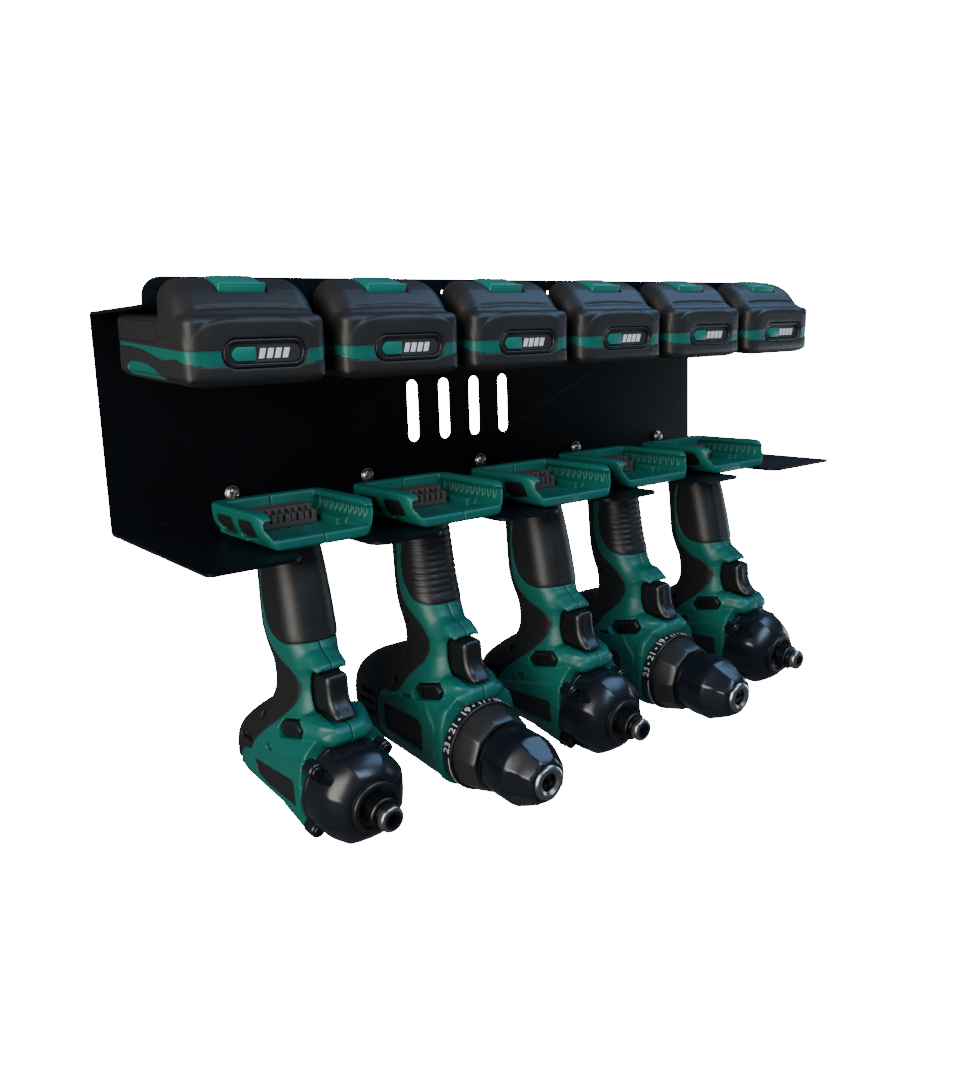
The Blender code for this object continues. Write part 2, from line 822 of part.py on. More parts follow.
def cut_pockets(half):
    """The trigger's and the direction switch's pockets in one half of a housing."""
    side = trigger_width / 2 + seat_gap
    rear = -trigger_front + trigger_length + trigger_travel + seat_gap
    top = -trigger_drop + seat_gap
    bottom = -trigger_drop - trigger_height - seat_gap
    front = -trigger_front - trigger_length
    cut(half, box("trigger_pocket", (-overrun, front, bottom), (side, rear, top)))
    cut(half, prism("switch_way", switch_outline(seat_gap), -overrun, handle_width, "x"))


def spigot_half():
    """The +x half of the nose that carries a drill's collar and chuck."""
    start = drill_barrel_front - overrun
    end = drill_barrel_front + spigot_length
    spigot = turned("spigot", [(start, spigot_radius), (end, spigot_radius)], round_steps)
    reach = spigot_radius + overrun
    keep(spigot, box("half", (split_gap / 2, -end - overrun, -reach), (reach, 0, reach)))
    spigot.data.transform(nose_place(0))
    return spigot


def housing_half(barrel_front, is_drill):
    half = grip_half(barrel_front, is_drill)
    join(half, foot_half())
    if is_drill:
        join(half, spigot_half())
        radius = bore_radius(chuck_shaft_radius)
        end = barrel_front + spigot_length
        profile = [(end - chuck_shaft_length - overrun, radius), (end + overrun, radius)]
        hole = turned("shaft_hole", profile, round_steps)
        hole.data.transform(nose_place(0))
        cut(half, hole)
    cut_pockets(half)
    return half


def trigger_mesh():
    trigger = prism("trigger", trigger_outline(), -trigger_width / 2, trigger_width / 2, "x")
    soften(trigger, trigger_edge)
    return take_mesh(trigger)


switch_reach_share = 0.58    # of the handle's width, the housing's half width beside the switch


def switch_mesh():
    reach = handle_width * switch_reach_share + switch_travel + switch_proud
    return take_mesh(prism("switch", switch_outline(0), -reach, reach, "x"))


def block_mesh():
    """The terminal block, slotted for a battery's blades."""
    rear = foot_rear - foot_rear_wall - seat_gap
    low = foot_floor + seat_gap
    half = block_width / 2
    block = box("block", (-half, rear - block_length, low), (half, rear, low + block_height))
    for x in row_places(block_slot_count, block_width / block_slot_count):
        cut(block, box(
            "blade_slot",
            (x - block_slot_width / 2, rear - block_length - overrun, low + block_height / 3),
            (x + block_slot_width / 2, rear - block_length + block_slot_depth, low + block_height + overrun),
        ))
    return take_mesh(block)


# The impact driver's gear case: distance forward to its length, radius to its rear radius
case_profile_shares = [(0.0, 0.97), (0.1, 1.0), (0.46, 0.985), (0.68, 0.90), (0.84, 0.74), (0.91, 0.58)]
case_ring_share = 0.92       # of its length, where the ring round the bit holder starts
lug_taper_share = 0.85       # of a lug's radius, its front's


def gear_case_mesh():
    """The impact driver's nose, with its screw lugs and the hole for the bit holder's shaft."""
    profile = [(case_length * along, case_radius * wide) for along, wide in case_profile_shares]
    profile += [(case_length * case_ring_share, case_front_radius), (case_length, case_front_radius)]
    case = turned("case", profile, round_steps)
    aside = lug_circle_radius * cos(lug_angle)
    above = lug_circle_radius * sin(lug_angle)
    lug_profile = [(0, lug_radius), (lug_length, lug_radius * lug_taper_share)]
    for side in (-1, 1):
        for level in (-1, 1):
            lug = turned("lug", lug_profile, small_round_steps)
            lug.data.transform(Matrix.Translation((side * aside, 0, level * above)))
            join(case, lug)
    radius = bore_radius(holder_shaft_radius)
    hole = [(case_length - holder_shaft_length - overrun, radius), (case_length + overrun, radius)]
    cut(case, turned("shaft_hole", hole, round_steps))
    case.data.transform(nose_place(driver_barrel_front + seat_gap))
    return take_mesh(case)


# The bit holder: distance forward to its length, with the radius there
holder_profile_shares = [
    (0.0, holder_radius), (0.52, holder_radius),
    (0.58, holder_groove_radius), (0.72, holder_groove_radius),
    (0.76, holder_tip_radius), (0.96, holder_tip_radius),
]
shaft_end_shares = [(1.0, 0.9), (0.95, 1.0)]   # a shaft's rounded inner end: depth and radius
ring_edge_share = 0.9        # of a ring's radius, its rounded edge's


def shaft_profile(length, radius):
    """The part of a turned profile that runs back into a bore."""
    profile = [(-length * depth, radius * wide) for depth, wide in shaft_end_shares]
    return profile + [(0, radius)]


def bit_holder_mesh():
    """A sleeve with a hexagonal bore, on a shaft that runs in the gear case."""
    profile = shaft_profile(holder_shaft_length, holder_shaft_radius)
    profile += [(holder_length * along, radius) for along, radius in holder_profile_shares]
    profile.append((holder_length, holder_tip_radius * ring_edge_share))
    holder = turned("holder", profile, round_steps)
    corner_radius = bit_bore_flats / 2 / cos(pi / hexagon)
    bore = [(holder_length - bit_bore_depth, corner_radius), (holder_length + overrun, corner_radius)]
    cut(holder, turned("bit_bore", bore, hexagon))
    holder.data.transform(nose_place(driver_barrel_front + case_length + 2 * seat_gap))
    return take_mesh(holder)


# The clutch collar: distance forward to its length, radius to its rear radius
collar_profile_shares = [(0.0, 1.0), (0.3, 0.99), (0.38, 0.93), (0.95, 0.85), (1.0, 0.81)]


def collar_mesh():
    """The clutch collar: a number ring behind a tapered grip, bored for the spigot."""
    bore = bore_radius(spigot_radius)
    profile = [(collar_length * along, collar_radius * wide) for along, wide in collar_profile_shares]
    collar = ring_body("collar", [(0, bore)] + profile + [(collar_length, bore)], round_steps)
    collar.data.transform(nose_place(drill_barrel_front + seat_gap))
    return take_mesh(collar)


# The chuck: distance forward to its length, radius to its largest
chuck_profile_shares = [
    (0.0, 0.93), (0.03, 0.97), (0.2, 1.0), (0.54, 0.99), (0.61, 0.94), (0.88, 0.70), (0.93, 0.60), (0.94, 0.5),
]
chuck_ring_share = 0.97      # of its length, where the tip ring's edge starts to round


def chuck_mesh():
    """A keyless chuck on the shaft that carries it."""
    profile = shaft_profile(chuck_shaft_length, chuck_shaft_radius)
    profile += [(chuck_length * along, chuck_radius * wide) for along, wide in chuck_profile_shares]
    profile.append((chuck_length * chuck_ring_share, chuck_tip_radius))
    profile.append((chuck_length, chuck_tip_radius * ring_edge_share))
    chuck = turned("chuck", profile, round_steps)
    bore = [(chuck_length - chuck_bore_depth, chuck_bore_radius), (chuck_length + overrun, chuck_bore_radius)]
    cut(chuck, turned("jaw_bore", bore, small_round_steps))
    chuck.data.transform(nose_place(drill_barrel_front + spigot_length + seat_gap))
    return take_mesh(chuck)


def build_tools(finishes):
    trigger = trigger_mesh()
    switch = switch_mesh()
    block = block_mesh()
    driver_right = take_mesh(housing_half(driver_barrel_front, False))
    drill_right = take_mesh(housing_half(drill_barrel_front, True))
    driver_left = mirrored(driver_right, "driver_left")
    drill_left = mirrored(drill_right, "drill_left")
    gear_case = gear_case_mesh()
    bit_holder = bit_holder_mesh()
    collar = collar_mesh()
    chuck = chuck_mesh()
    for i, x in enumerate(tool_places(), 1):
        is_drill = i % 2 == 0
        drawn = handle_depth * tool_drawn_shares[(i - 1) % len(tool_drawn_shares)]
        frame = empty_at(f"tool_{i}", (x, -handle_inset - drawn, shelf_top + seat_gap))
        left, right = (drill_left, drill_right) if is_drill else (driver_left, driver_right)
        place_mesh(f"tool_{i}_housing_left", left, finishes["teal"], frame)
        place_mesh(f"tool_{i}_housing_right", right, finishes["teal"], frame)
        place_mesh(f"tool_{i}_trigger", trigger, finishes["black"], frame)
        place_mesh(f"tool_{i}_direction_switch", switch, finishes["black"], frame)
        place_mesh(f"tool_{i}_terminal_block", block, finishes["terminal"], frame)
        if is_drill:
            place_mesh(f"tool_{i}_clutch_collar", collar, finishes["gear_case"], frame)
            place_mesh(f"tool_{i}_chuck", chuck, finishes["black"], frame)
        else:
            place_mesh(f"tool_{i}_gear_case", gear_case, finishes["gear_case"], frame)
            place_mesh(f"tool_{i}_bit_holder", bit_holder, finishes["dark_steel"], frame)


def main():
    for thing in list(bpy.data.objects):
        bpy.data.objects.remove(thing)
    finishes = make_finishes()
    build_rack(finishes)
    build_wall_screws(finishes)
    build_packs(finishes)
    build_tools(finishes)


main()
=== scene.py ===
"""Finish of the drill and battery shelf: a black steel wall rack, six battery packs and five tools.

Shapes are worked in millimetres in the frame of the pack or tool that they belong to, and
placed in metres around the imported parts. Moulded bodies are clay: a distance field, below
zero inside, that is meshed once and keeps the distances to its colour borders.
"""

from functools import reduce
from math import cos, pi, radians, sin, tan

import bmesh
import bpy
import numpy as np
import openvdb
from mathutils import Matrix, Vector


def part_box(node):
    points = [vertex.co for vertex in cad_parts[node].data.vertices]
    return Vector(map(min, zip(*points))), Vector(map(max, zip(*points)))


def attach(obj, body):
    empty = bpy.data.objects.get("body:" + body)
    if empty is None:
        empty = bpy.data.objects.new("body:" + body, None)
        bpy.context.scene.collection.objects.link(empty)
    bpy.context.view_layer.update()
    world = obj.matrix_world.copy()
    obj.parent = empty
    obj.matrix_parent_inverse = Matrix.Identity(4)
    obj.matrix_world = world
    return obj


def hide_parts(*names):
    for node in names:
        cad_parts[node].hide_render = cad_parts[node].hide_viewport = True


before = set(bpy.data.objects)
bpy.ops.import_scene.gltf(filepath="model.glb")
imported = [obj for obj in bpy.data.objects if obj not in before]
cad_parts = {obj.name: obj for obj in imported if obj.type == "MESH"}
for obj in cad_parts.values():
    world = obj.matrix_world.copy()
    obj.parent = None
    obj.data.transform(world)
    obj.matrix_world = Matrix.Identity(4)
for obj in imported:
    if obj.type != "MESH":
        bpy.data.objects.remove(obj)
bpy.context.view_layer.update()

mm = 0.001
pack_count = 6
tool_count = 5
screw_count = 5
whole_turn = 2 * pi
sqrt2 = 2 ** 0.5


# Shader maths

class Value:
    """A shader socket that adds, multiplies and compares as a number does."""

    def __init__(self, finish, socket):
        self.finish = finish
        self.socket = socket

    def math(self, operation, *terms):
        return self.finish.node("ShaderNodeMath", {"operation": operation}, dict(enumerate(terms)))

    def __add__(self, other):
        return self.math("ADD", self, other)

    def __sub__(self, other):
        return self.math("SUBTRACT", self, other)

    def __rsub__(self, other):
        return self.math("SUBTRACT", other, self)

    def __mul__(self, other):
        return self.math("MULTIPLY", self, other)

    def __abs__(self):
        return self.math("ABSOLUTE", self)

    __radd__ = __add__
    __rmul__ = __mul__

    def within(self, low, high):
        """0 below low, 1 above high and even between."""
        inputs = {"Value": self, "From Min": low, "From Max": high, "To Min": 0.0, "To Max": 1.0}
        return self.finish.node("ShaderNodeMapRange", {"interpolation_type": "SMOOTHSTEP"}, inputs)


def tone(colour, factor):
    return tuple(channel * factor for channel in colour)


class Finish:
    """A material on one Principled shader."""

    def __init__(self, name, colour, **constants):
        material = bpy.data.materials.new(name)
        material.use_nodes = True
        self.tree = material.node_tree
        self.shader = self.tree.nodes["Principled BSDF"]
        self.set(base_color=(*colour, 1.0), **constants)

    def node(self, kind, settings, inputs, output=0):
        made = self.tree.nodes.new(kind)
        for name, value in settings.items():
            setattr(made, name, value)
        for name, value in inputs.items():
            self.connect(value, made.inputs[name])
        return Value(self, made.outputs[output])

    def connect(self, value, socket):
        if isinstance(value, Value):
            self.tree.links.new(value.socket, socket)
        else:
            socket.default_value = value

    def set(self, **inputs):
        for name, value in inputs.items():
            self.connect(value, self.shader.inputs[name.replace("_", " ").title().replace("Ior", "IOR")])

    def grain(self, scale, detail=2.0):
        """Noise from 0 to 1; scale is in lumps per metre."""
        place = self.node("ShaderNodeTexCoord", {}, {}, "Object")
        return self.node("ShaderNodeTexNoise", {}, {"Vector": place, "Scale": scale, "Detail": detail})

    def attribute(self, name):
        return self.node("ShaderNodeAttribute", {"attribute_name": name}, {}, "Fac")

    def mix(self, share, first, second):
        """Colours mixed; each is a Value or an (r, g, b)."""
        first, second = (c if isinstance(c, Value) else (*c, 1.0) for c in (first, second))
        return self.node("ShaderNodeMix", {"data_type": "RGBA"}, {0: share, 6: first, 7: second}, 2)

    def shades(self, share, colour, low, high):
        """One colour, from low to high times its strength."""
        return self.mix(share, tone(colour, low), tone(colour, high))

    def bump(self, height, distance):
        """Normals from a height of 0 to 1 that stands for distance metres."""
        self.set(normal=self.node("ShaderNodeBump", {}, {"Height": height, "Distance": distance}))


steel_black = (0.0026, 0.0033, 0.0050)
teal = (0.0020, 0.1020, 0.0800)
pack_grey = (0.0172, 0.0156, 0.0146)
rubber_black = (0.0068, 0.0063, 0.0060)


def powder_coat():
    finish = Finish("powder_coat", steel_black, specular_ior_level=0.13)
    orange_peel = finish.grain(900.0)
    cloud = finish.grain(14.0, 3.0)
    finish.set(roughness=0.30 + 0.14 * orange_peel + 0.08 * cloud)
    finish.set(base_color=finish.shades(cloud, steel_black, 0.8, 1.35))
    finish.bump(orange_peel, 0.00006)


def worn_edge():
    """The sheet's cut edges: a thin coat rubbed in patches, and a painted highlight that makes the whole
    edge lighter than the coat.
    """
    finish = Finish("worn_edge", (0.05, 0.052, 0.056))
    rub_and_highlight = finish.grain(260.0, 3.0).within(0.38, 0.72)
    # The edge colour is lighter than the coat throughout, a painted highlight; the rubbed patches are
    # lighter still and partly metallic
    finish.set(base_color=finish.mix(rub_and_highlight, (0.010, 0.011, 0.014), (0.09, 0.09, 0.095)))
    finish.set(metallic=rub_and_highlight * 0.6, roughness=0.45 - 0.15 * rub_and_highlight)


def metal(name, dull, bright, rough, spread=0.12, lumps=1400.0, depth=0.00002):
    finish = Finish(name, dull, metallic=1.0)
    turning = finish.grain(lumps, 3.0)
    finish.set(roughness=rough + spread * turning, base_color=finish.mix(turning, dull, bright))
    finish.bump(turning, depth)


def steel(name, colour, rough):
    return metal(name, tone(colour, 0.8), tone(colour, 1.2), rough)


def moulded(name, colour, rough, grain_size=0.00035, grain_depth=0.00003):
    """Plain moulded plastic with a spark-eroded grain."""
    finish = Finish(name, colour)
    grain = finish.grain(1.0 / grain_size)
    cloud = finish.grain(45.0, 3.0)
    finish.set(base_color=finish.shades(cloud, colour, 0.86, 1.14))
    finish.set(roughness=rough - 0.06 + 0.12 * grain + 0.05 * cloud)
    finish.bump(grain, grain_depth)


def pack_case_finish():
    """Charcoal shell with the teal band, painted shade along its groove lines, and the rear windows."""
    finish = Finish("pack_shell", pack_grey, specular_ior_level=0.36)
    grain = finish.grain(2600.0)
    cloud = finish.grain(30.0, 3.0)
    shell = finish.shades(cloud, pack_grey, 0.85, 1.15)
    band = 1.0 - finish.attribute("band").within(-0.12, 0.12)
    # Painted shade: a dark line along the band's lower groove and the label's outline
    line = 1.0 - abs(finish.attribute("line")).within(0.15, 0.5)
    colour = finish.mix(band, shell, finish.shades(cloud, teal, 0.95, 1.2))
    finish.set(base_color=finish.mix(line, colour, tone(pack_grey, 0.25)))
    finish.set(roughness=0.40 + 0.14 * grain - 0.05 * band)
    finish.bump(grain, 0.00004)


def housing_finish():
    """Teal nylon and the black overmoulding, told apart by the distance to their border, with a painted
    shadow line along that border.
    """
    finish = Finish("housing", teal, specular_ior_level=0.42)
    fine = finish.grain(3000.0)
    coarse = finish.grain(1500.0)
    cloud = finish.grain(40.0, 3.0)
    black = 1.0 - finish.attribute("black").within(-0.12, 0.12)
    # A thin dark line along the border is a painted shadow of the overmoulding's edge
    line = 1.0 - abs(finish.attribute("black")).within(0.1, 0.45)
    nylon = finish.shades(cloud, teal, 0.88, 1.12)
    colour = finish.mix(black, nylon, finish.shades(coarse, rubber_black, 0.75, 1.35))
    finish.set(base_color=finish.mix(line * 0.55, colour, tone(rubber_black, 0.4)))
    finish.set(roughness=0.36 + 0.10 * fine + black * (0.10 + 0.10 * coarse))
    finish.bump(fine + black * coarse * 2.0, 0.00005)


def lamp_white():
    finish = Finish("lamp_white", (0.72, 0.74, 0.76), roughness=0.3)
    cloud = finish.grain(900.0)
    finish.set(base_color=finish.mix(cloud, (0.62, 0.64, 0.66), (0.80, 0.82, 0.84)))


powder_coat()
worn_edge()
pack_case_finish()
housing_finish()
lamp_white()
metal("bright_zinc", (0.50, 0.50, 0.48), (0.74, 0.73, 0.70), 0.22, 0.16, 700.0, 0.00003)
steel("bright_steel", (0.36, 0.36, 0.35), 0.22)
steel("blackened_steel", (0.055, 0.055, 0.058), 0.32)
moulded("pack_face", (0.030, 0.026, 0.023), 0.45)
moulded("pack_dark", (0.009, 0.009, 0.0095), 0.30)
moulded("button_teal", (0.004, 0.155, 0.118), 0.36)
moulded("white_print", (0.62, 0.62, 0.60), 0.45)
moulded("front_rubber", rubber_black, 0.44, 0.0007, 0.00008)
moulded("black_plastic", (0.006, 0.006, 0.0065), 0.34)
moulded("polished_black", (0.0045, 0.0045, 0.0047), 0.35, 0.0009, 0.000002)
moulded("terminal_block", (0.050, 0.038, 0.031), 0.55)
moulded("gear_case_grey", (0.0060, 0.0074, 0.0105), 0.22, 0.0005, 0.000012)
moulded("number_ring", (0.008, 0.008, 0.0085), 0.34)
moulded("clutch_grip", (0.019, 0.0185, 0.019), 0.32)
moulded("chuck_sleeve", (0.0050, 0.0068, 0.0110), 0.22, 0.0006, 0.00001)


# Meshes

def linked(name, data):
    """A new object in the scene."""
    thing = bpy.data.objects.new(name, data)
    bpy.context.scene.collection.objects.link(thing)
    return thing


def piece(name, mesh, body, replaced=(), place=Matrix.Identity(4)):
    """An object that rides on a body and may stand for parts of the frame."""
    thing = linked(name, mesh)
    thing.matrix_world = place
    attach(thing, body)
    if replaced:
        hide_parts(*replaced)


def mesh_from(name, points, faces):
    mesh = bpy.data.meshes.new(name)
    mesh.from_pydata([tuple(p) for p in points], [], [tuple(f) for f in faces])
    mesh.validate()
    return mesh


def shaded(mesh, sharp=None):
    """Smooth, except at edges that turn by more than sharp degrees."""
    mesh.shade_smooth()
    if sharp is not None:
        mesh.set_sharp_from_angle(angle=radians(sharp))
    return mesh


def faced_out(mesh, sharp=None):
    """The mesh with its faces turned outwards, and shaded."""
    bm = bmesh.new()
    bm.from_mesh(mesh)
    bmesh.ops.recalc_face_normals(bm, faces=bm.faces)
    bm.to_mesh(mesh)
    bm.free()
    return shaded(mesh, sharp)


def in_metres(mesh):
    mesh.transform(Matrix.Scale(mm, 4))
    return mesh


def moved(mesh, place):
    other = mesh.copy()
    other.transform(place if isinstance(place, Matrix) else Matrix.Translation(place))
    return other


def mirrored(mesh):
    """The other hand of a mesh, across x = 0."""
    other = moved(mesh, Matrix.Scale(-1, 4, (1, 0, 0)))
    other.flip_normals()
    return other


def baked(thing):
    """The mesh of a scratch object with its modifiers applied; the object goes."""
    bpy.context.view_layer.update()
    mesh = bpy.data.meshes.new_from_object(thing.evaluated_get(bpy.context.evaluated_depsgraph_get()))
    bpy.data.objects.remove(thing)
    return mesh


def modified(mesh, kind, **settings):
    """A copy of the mesh with a modifier applied."""
    thing = linked("scratch", mesh)
    modifier = thing.modifiers.new(kind.lower(), kind)
    for name, value in settings.items():
        setattr(modifier, name, value)
    return baked(thing)


def bevelled(mesh, width, segments=2, angle=40, edge_slot=-1):
    return modified(mesh, "BEVEL", width=width, segments=segments, limit_method="ANGLE",
                    angle_limit=radians(angle), material=edge_slot)


def cut(mesh, other, operation="DIFFERENCE"):
    """The mesh without the other, or what they share."""
    tool = linked("tool", other)
    result = modified(mesh, "BOOLEAN", operation=operation, object=tool)
    bpy.data.objects.remove(tool)
    return result


def solid(name, rings, closed=False, sharp=35):
    """A body through rings of equally many points; its ends are capped or joined."""
    count = len(rings[0])
    faces = []
    for k in range(len(rings) if closed else len(rings) - 1):
        low, high = k * count, (k + 1) % len(rings) * count
        for i in range(count):
            j = (i + 1) % count
            faces.append((low + i, low + j, high + j, high + i))
    if not closed:
        faces.append(tuple(reversed(range(count))))
        faces.append(tuple(range((len(rings) - 1) * count, len(rings) * count)))
    return faced_out(mesh_from(name, [p for ring in rings for p in ring], faces), sharp)


def prism(name, outline, start, end, axis="x"):
    """An outline extruded along an axis; its points are the two other coordinates in order."""
    at = "xyz".index(axis)
    return solid(name, [[(*p[:at], depth, *p[at:]) for p in outline] for depth in (start, end)])


def rectangle(low, high):
    return [low, (high[0], low[1]), high, (low[0], high[1])]


def block(low, high):
    return prism("block", rectangle(low[:2], high[:2]), low[2], high[2], "z")


def rounded(corners, radius=0, steps=10):
    """An outline with arcs for corners; a corner's third value is its own radius."""
    spots = [Vector(corner[:2]) for corner in corners]
    points = []
    for i, (corner, here) in enumerate(zip(corners, spots)):
        bend = corner[2] if len(corner) > 2 else radius
        if bend == 0:
            points.append(tuple(here))
            continue
        before = (spots[i - 1] - here).normalized()
        after = (spots[(i + 1) % len(spots)] - here).normalized()
        half = before.angle(after) / 2
        centre = here + (before + after).normalized() * (bend / sin(half))
        start = here + before * (bend / tan(half)) - centre
        turn = (pi - 2 * half) * (1 if before.cross(after) < 0 else -1)
        for k in range(steps + 1):
            a = turn * k / steps
            points.append((centre.x + start.x * cos(a) - start.y * sin(a),
                           centre.y + start.x * sin(a) + start.y * cos(a)))
    return points


def merged(name, meshes):
    """Several meshes as one, with their own materials kept."""
    bm = bmesh.new()
    materials = []
    for mesh in meshes:
        start = len(bm.faces)
        bm.from_mesh(mesh)
        bm.faces.ensure_lookup_table()
        for face in bm.faces[start:]:
            face.material_index += len(materials)
        materials += list(mesh.materials) or [None]
    mesh = bpy.data.meshes.new(name)
    bm.to_mesh(mesh)
    bm.free()
    for material in materials:
        mesh.materials.append(material)
    return shaded(mesh, 35)


def painted(mesh, *names):
    """Gives a mesh its finishes; its faces' slots stay."""
    mesh.materials.clear()
    for name in names:
        mesh.materials.append(bpy.data.materials[name])
    return mesh


def finished(mesh, finish):
    """A mesh turned from millimetres to metres, with its finish."""
    return painted(in_metres(mesh), finish)


# Clay

def smooth_line(points, steps=4):
    """A closed outline whose corners round slightly."""
    p = np.array(points, float)
    t = np.arange(steps)[:, None] / steps
    rows = []
    for k in range(len(p)):
        a, b, c, d = (p[(k + i) % len(p)] for i in (-1, 0, 1, 2))
        curve = (c - a) * t + (2 * a - 5 * b + 4 * c - d) * t**2
        rows.append(b + 0.5 * (curve + (3 * (b - c) + d - a) * t**3))
    return [tuple(q) for q in np.vstack(rows)]


def outside(points, u, v):
    """Signed distance from (u, v) to a closed outline, below zero inside it."""
    u, v = np.broadcast_arrays(u, v)
    best = np.full(u.shape, np.inf)
    inside = np.zeros(u.shape, bool)
    for (au, av), (bu, bv) in zip(points, points[1:] + points[:1]):
        du, dv = bu - au, bv - av
        t = np.clip(((u - au) * du + (v - av) * dv) / (du * du + dv * dv), 0, 1)
        best = np.minimum(best, np.hypot(u - au - t * du, v - av - t * dv))
        crossing = (av > v) != (bv > v)
        slope = du / dv if dv else 0.0
        inside ^= crossing & (u < au + (v - av) * slope)
    return np.where(inside, -best, best)


def meet(a, b, radius):
    """What two fields share, with a rounded edge."""
    corner = np.hypot(np.maximum(a + radius, 0), np.maximum(b + radius, 0))
    return np.minimum(np.maximum(a, b), -radius) + corner


def blend(a, b, radius):
    """Two fields joined, with a fillet between them."""
    return -meet(-a, -b, radius)


def either(*fields):
    """Inside any of the fields."""
    return reduce(np.minimum, fields)


def both(*fields):
    """Inside all of the fields."""
    return reduce(np.maximum, fields)


def carve(a, b, radius):
    """The first field without the second."""
    return meet(a, -b, radius)


def raised(distance, soft=0.5):
    """1 well inside a border, 0 outside it, and even between."""
    t = np.clip(0.5 - distance / (2 * soft), 0, 1)
    return t * t * (3 - 2 * t)


def near(distance, width):
    """1 on a line, and less the further from it."""
    return np.exp(-(distance / width) ** 2)


def table(rows, at):
    """A value that follows a table of (place, value) rows."""
    places, values = zip(*sorted(rows))
    return np.interp(at, places, values)


def box_distance(low, high, x, y, z, radius):
    """Distance to a box whose edges are rounded."""
    parts = [np.abs(value - (a + b) / 2) - (b - a) / 2 + radius
             for value, a, b in zip((x, y, z), low, high)]
    beyond = np.sqrt(sum(np.maximum(part, 0) ** 2 for part in parts))
    inside = np.minimum(np.maximum(np.maximum(parts[0], parts[1]), parts[2]), 0)
    return beyond + inside - radius


def clay_mesh(name, field, low, high, step, keep):
    """Meshes a field over a box in millimetres; keep is the share of faces left."""
    axes = [np.arange(a, b + step, step) for a, b in zip(low, high)]
    x, y, z = axes[0][:, None, None], axes[1][None, :, None], axes[2][None, None, :]
    values = np.broadcast_to(field(x, y, z), [len(a) for a in axes])
    band = step * 3
    grid = openvdb.FloatGrid(background=float(band))
    grid.copyFromArray(np.ascontiguousarray(np.clip(values, -band, band), np.float32))
    points, quads = grid.convertToQuads(0.0)
    mesh = mesh_from(name, points * step + np.array(low), quads)
    return faced_out(modified(mesh, "DECIMATE", ratio=keep))


def mark(mesh, name, distances):
    """Keeps a distance at each vertex for the shader."""
    layer = mesh.attributes.new(name, "FLOAT", "POINT")
    layer.data.foreach_set("value", np.asarray(distances, np.float32))


def vertices_of(mesh):
    co = np.zeros(len(mesh.vertices) * 3)
    mesh.vertices.foreach_get("co", co)
    return co.reshape(-1, 3).T


# Camera, light and floor

camera_place = Vector((-0.458, -0.614, 0.0457))
camera_yaw = radians(37.59)
camera_pitch = radians(9.43)
camera_roll = radians(-2.08)
image_width = 960
image_height = 1080
focal_pixels = 949.9
centre_x = 476.3
centre_y = 496.1


def place_camera():
    level_reach = cos(camera_pitch)
    forward = Vector((sin(camera_yaw) * level_reach, cos(camera_yaw) * level_reach, -sin(camera_pitch)))
    level = Vector((cos(camera_yaw), -sin(camera_yaw), 0))
    upright = level.cross(forward)
    right = level * cos(camera_roll) + upright * sin(camera_roll)
    up = upright * cos(camera_roll) - level * sin(camera_roll)
    data = bpy.data.cameras.new("camera")
    data.sensor_fit = "VERTICAL"
    data.sensor_height = 36
    data.lens = focal_pixels / image_height * data.sensor_height
    data.shift_x = (image_width / 2 - centre_x) / image_height
    data.shift_y = -(image_height / 2 - centre_y) / image_height
    data.clip_start = 0.01
    camera = linked("camera", data)
    turn = Matrix((right, up, -forward)).transposed().to_4x4()
    camera.matrix_world = Matrix.Translation(camera_place) @ turn
    bpy.context.scene.camera = camera


room_light = (0.10, 0.118, 0.145, 1)
white_backdrop = (30, 30, 30, 1)
# Place, target, size in metres, watts and colour
soft_boxes = {
    "key_left": ((-1.5, -0.75, 0.25), (-0.05, -0.10, -0.05), (0.9, 1.5), 35, (1.0, 0.94, 0.87)),
    "sky_front": ((0.1, -1.5, 1.15), (0.0, -0.12, 0.0), (1.2, 0.6), 20, (0.55, 0.77, 1.0)),
    "sky_right": ((0.95, -0.40, 1.10), (0.05, -0.12, 0.0), (1.0, 0.8), 12, (0.33, 0.58, 1.0)),
    "fill_right": ((1.5, -0.38, -0.40), (0.05, -0.15, -0.12), (0.6, 0.8), 6, (0.80, 0.90, 1.0)),
}


def light_the_scene():
    world = bpy.data.worlds.new("studio")
    bpy.context.scene.world = world
    world.use_nodes = True
    tree = world.node_tree
    path = tree.nodes.new("ShaderNodeLightPath")
    seen = tree.nodes.new("ShaderNodeMix")
    seen.data_type = "RGBA"
    seen.inputs[6].default_value = room_light
    seen.inputs[7].default_value = white_backdrop
    tree.links.new(path.outputs["Is Camera Ray"], seen.inputs[0])
    tree.links.new(seen.outputs[2], tree.nodes["Background"].inputs["Color"])
    for name, (place, target, size, power, colour) in soft_boxes.items():
        data = bpy.data.lights.new(name, "AREA")
        data.shape = "RECTANGLE"
        data.size, data.size_y = size
        data.energy = power
        data.color = colour
        turn = (Vector(target) - Vector(place)).to_track_quat("-Z", "Y").to_matrix().to_4x4()
        linked(name, data).matrix_world = Matrix.Translation(place) @ turn


floor_level = -0.75
floor_reach = 3.0
floor_sun = 110


def lay_floor():
    """A pale floor with a light of its own, which casts nothing on the rack."""
    Finish("studio_floor", (0.92, 0.92, 0.92), roughness=0.9, specular_ior_level=0.1)
    corners = rectangle((-floor_reach, -floor_reach), (floor_reach, floor_reach))
    mesh = mesh_from("floor", [(*corner, 0) for corner in corners], [(0, 1, 2, 3)])
    floor = linked("floor", painted(mesh, "studio_floor"))
    floor.location = (0, 0, floor_level)
    floor.visible_diffuse = False
    floor.visible_glossy = False
    lit = bpy.data.collections.new("floor_light_reach")
    lit.objects.link(floor)
    data = bpy.data.lights.new("floor_light", "SUN")
    data.energy = floor_sun
    data.use_shadow = False
    linked("floor_light", data).light_linking.receiver_collection = lit


# Rack, in millimetres

def across(box):
    """The middle of a box across the rack."""
    return sum(corner[0] for corner in box) / 2 / mm


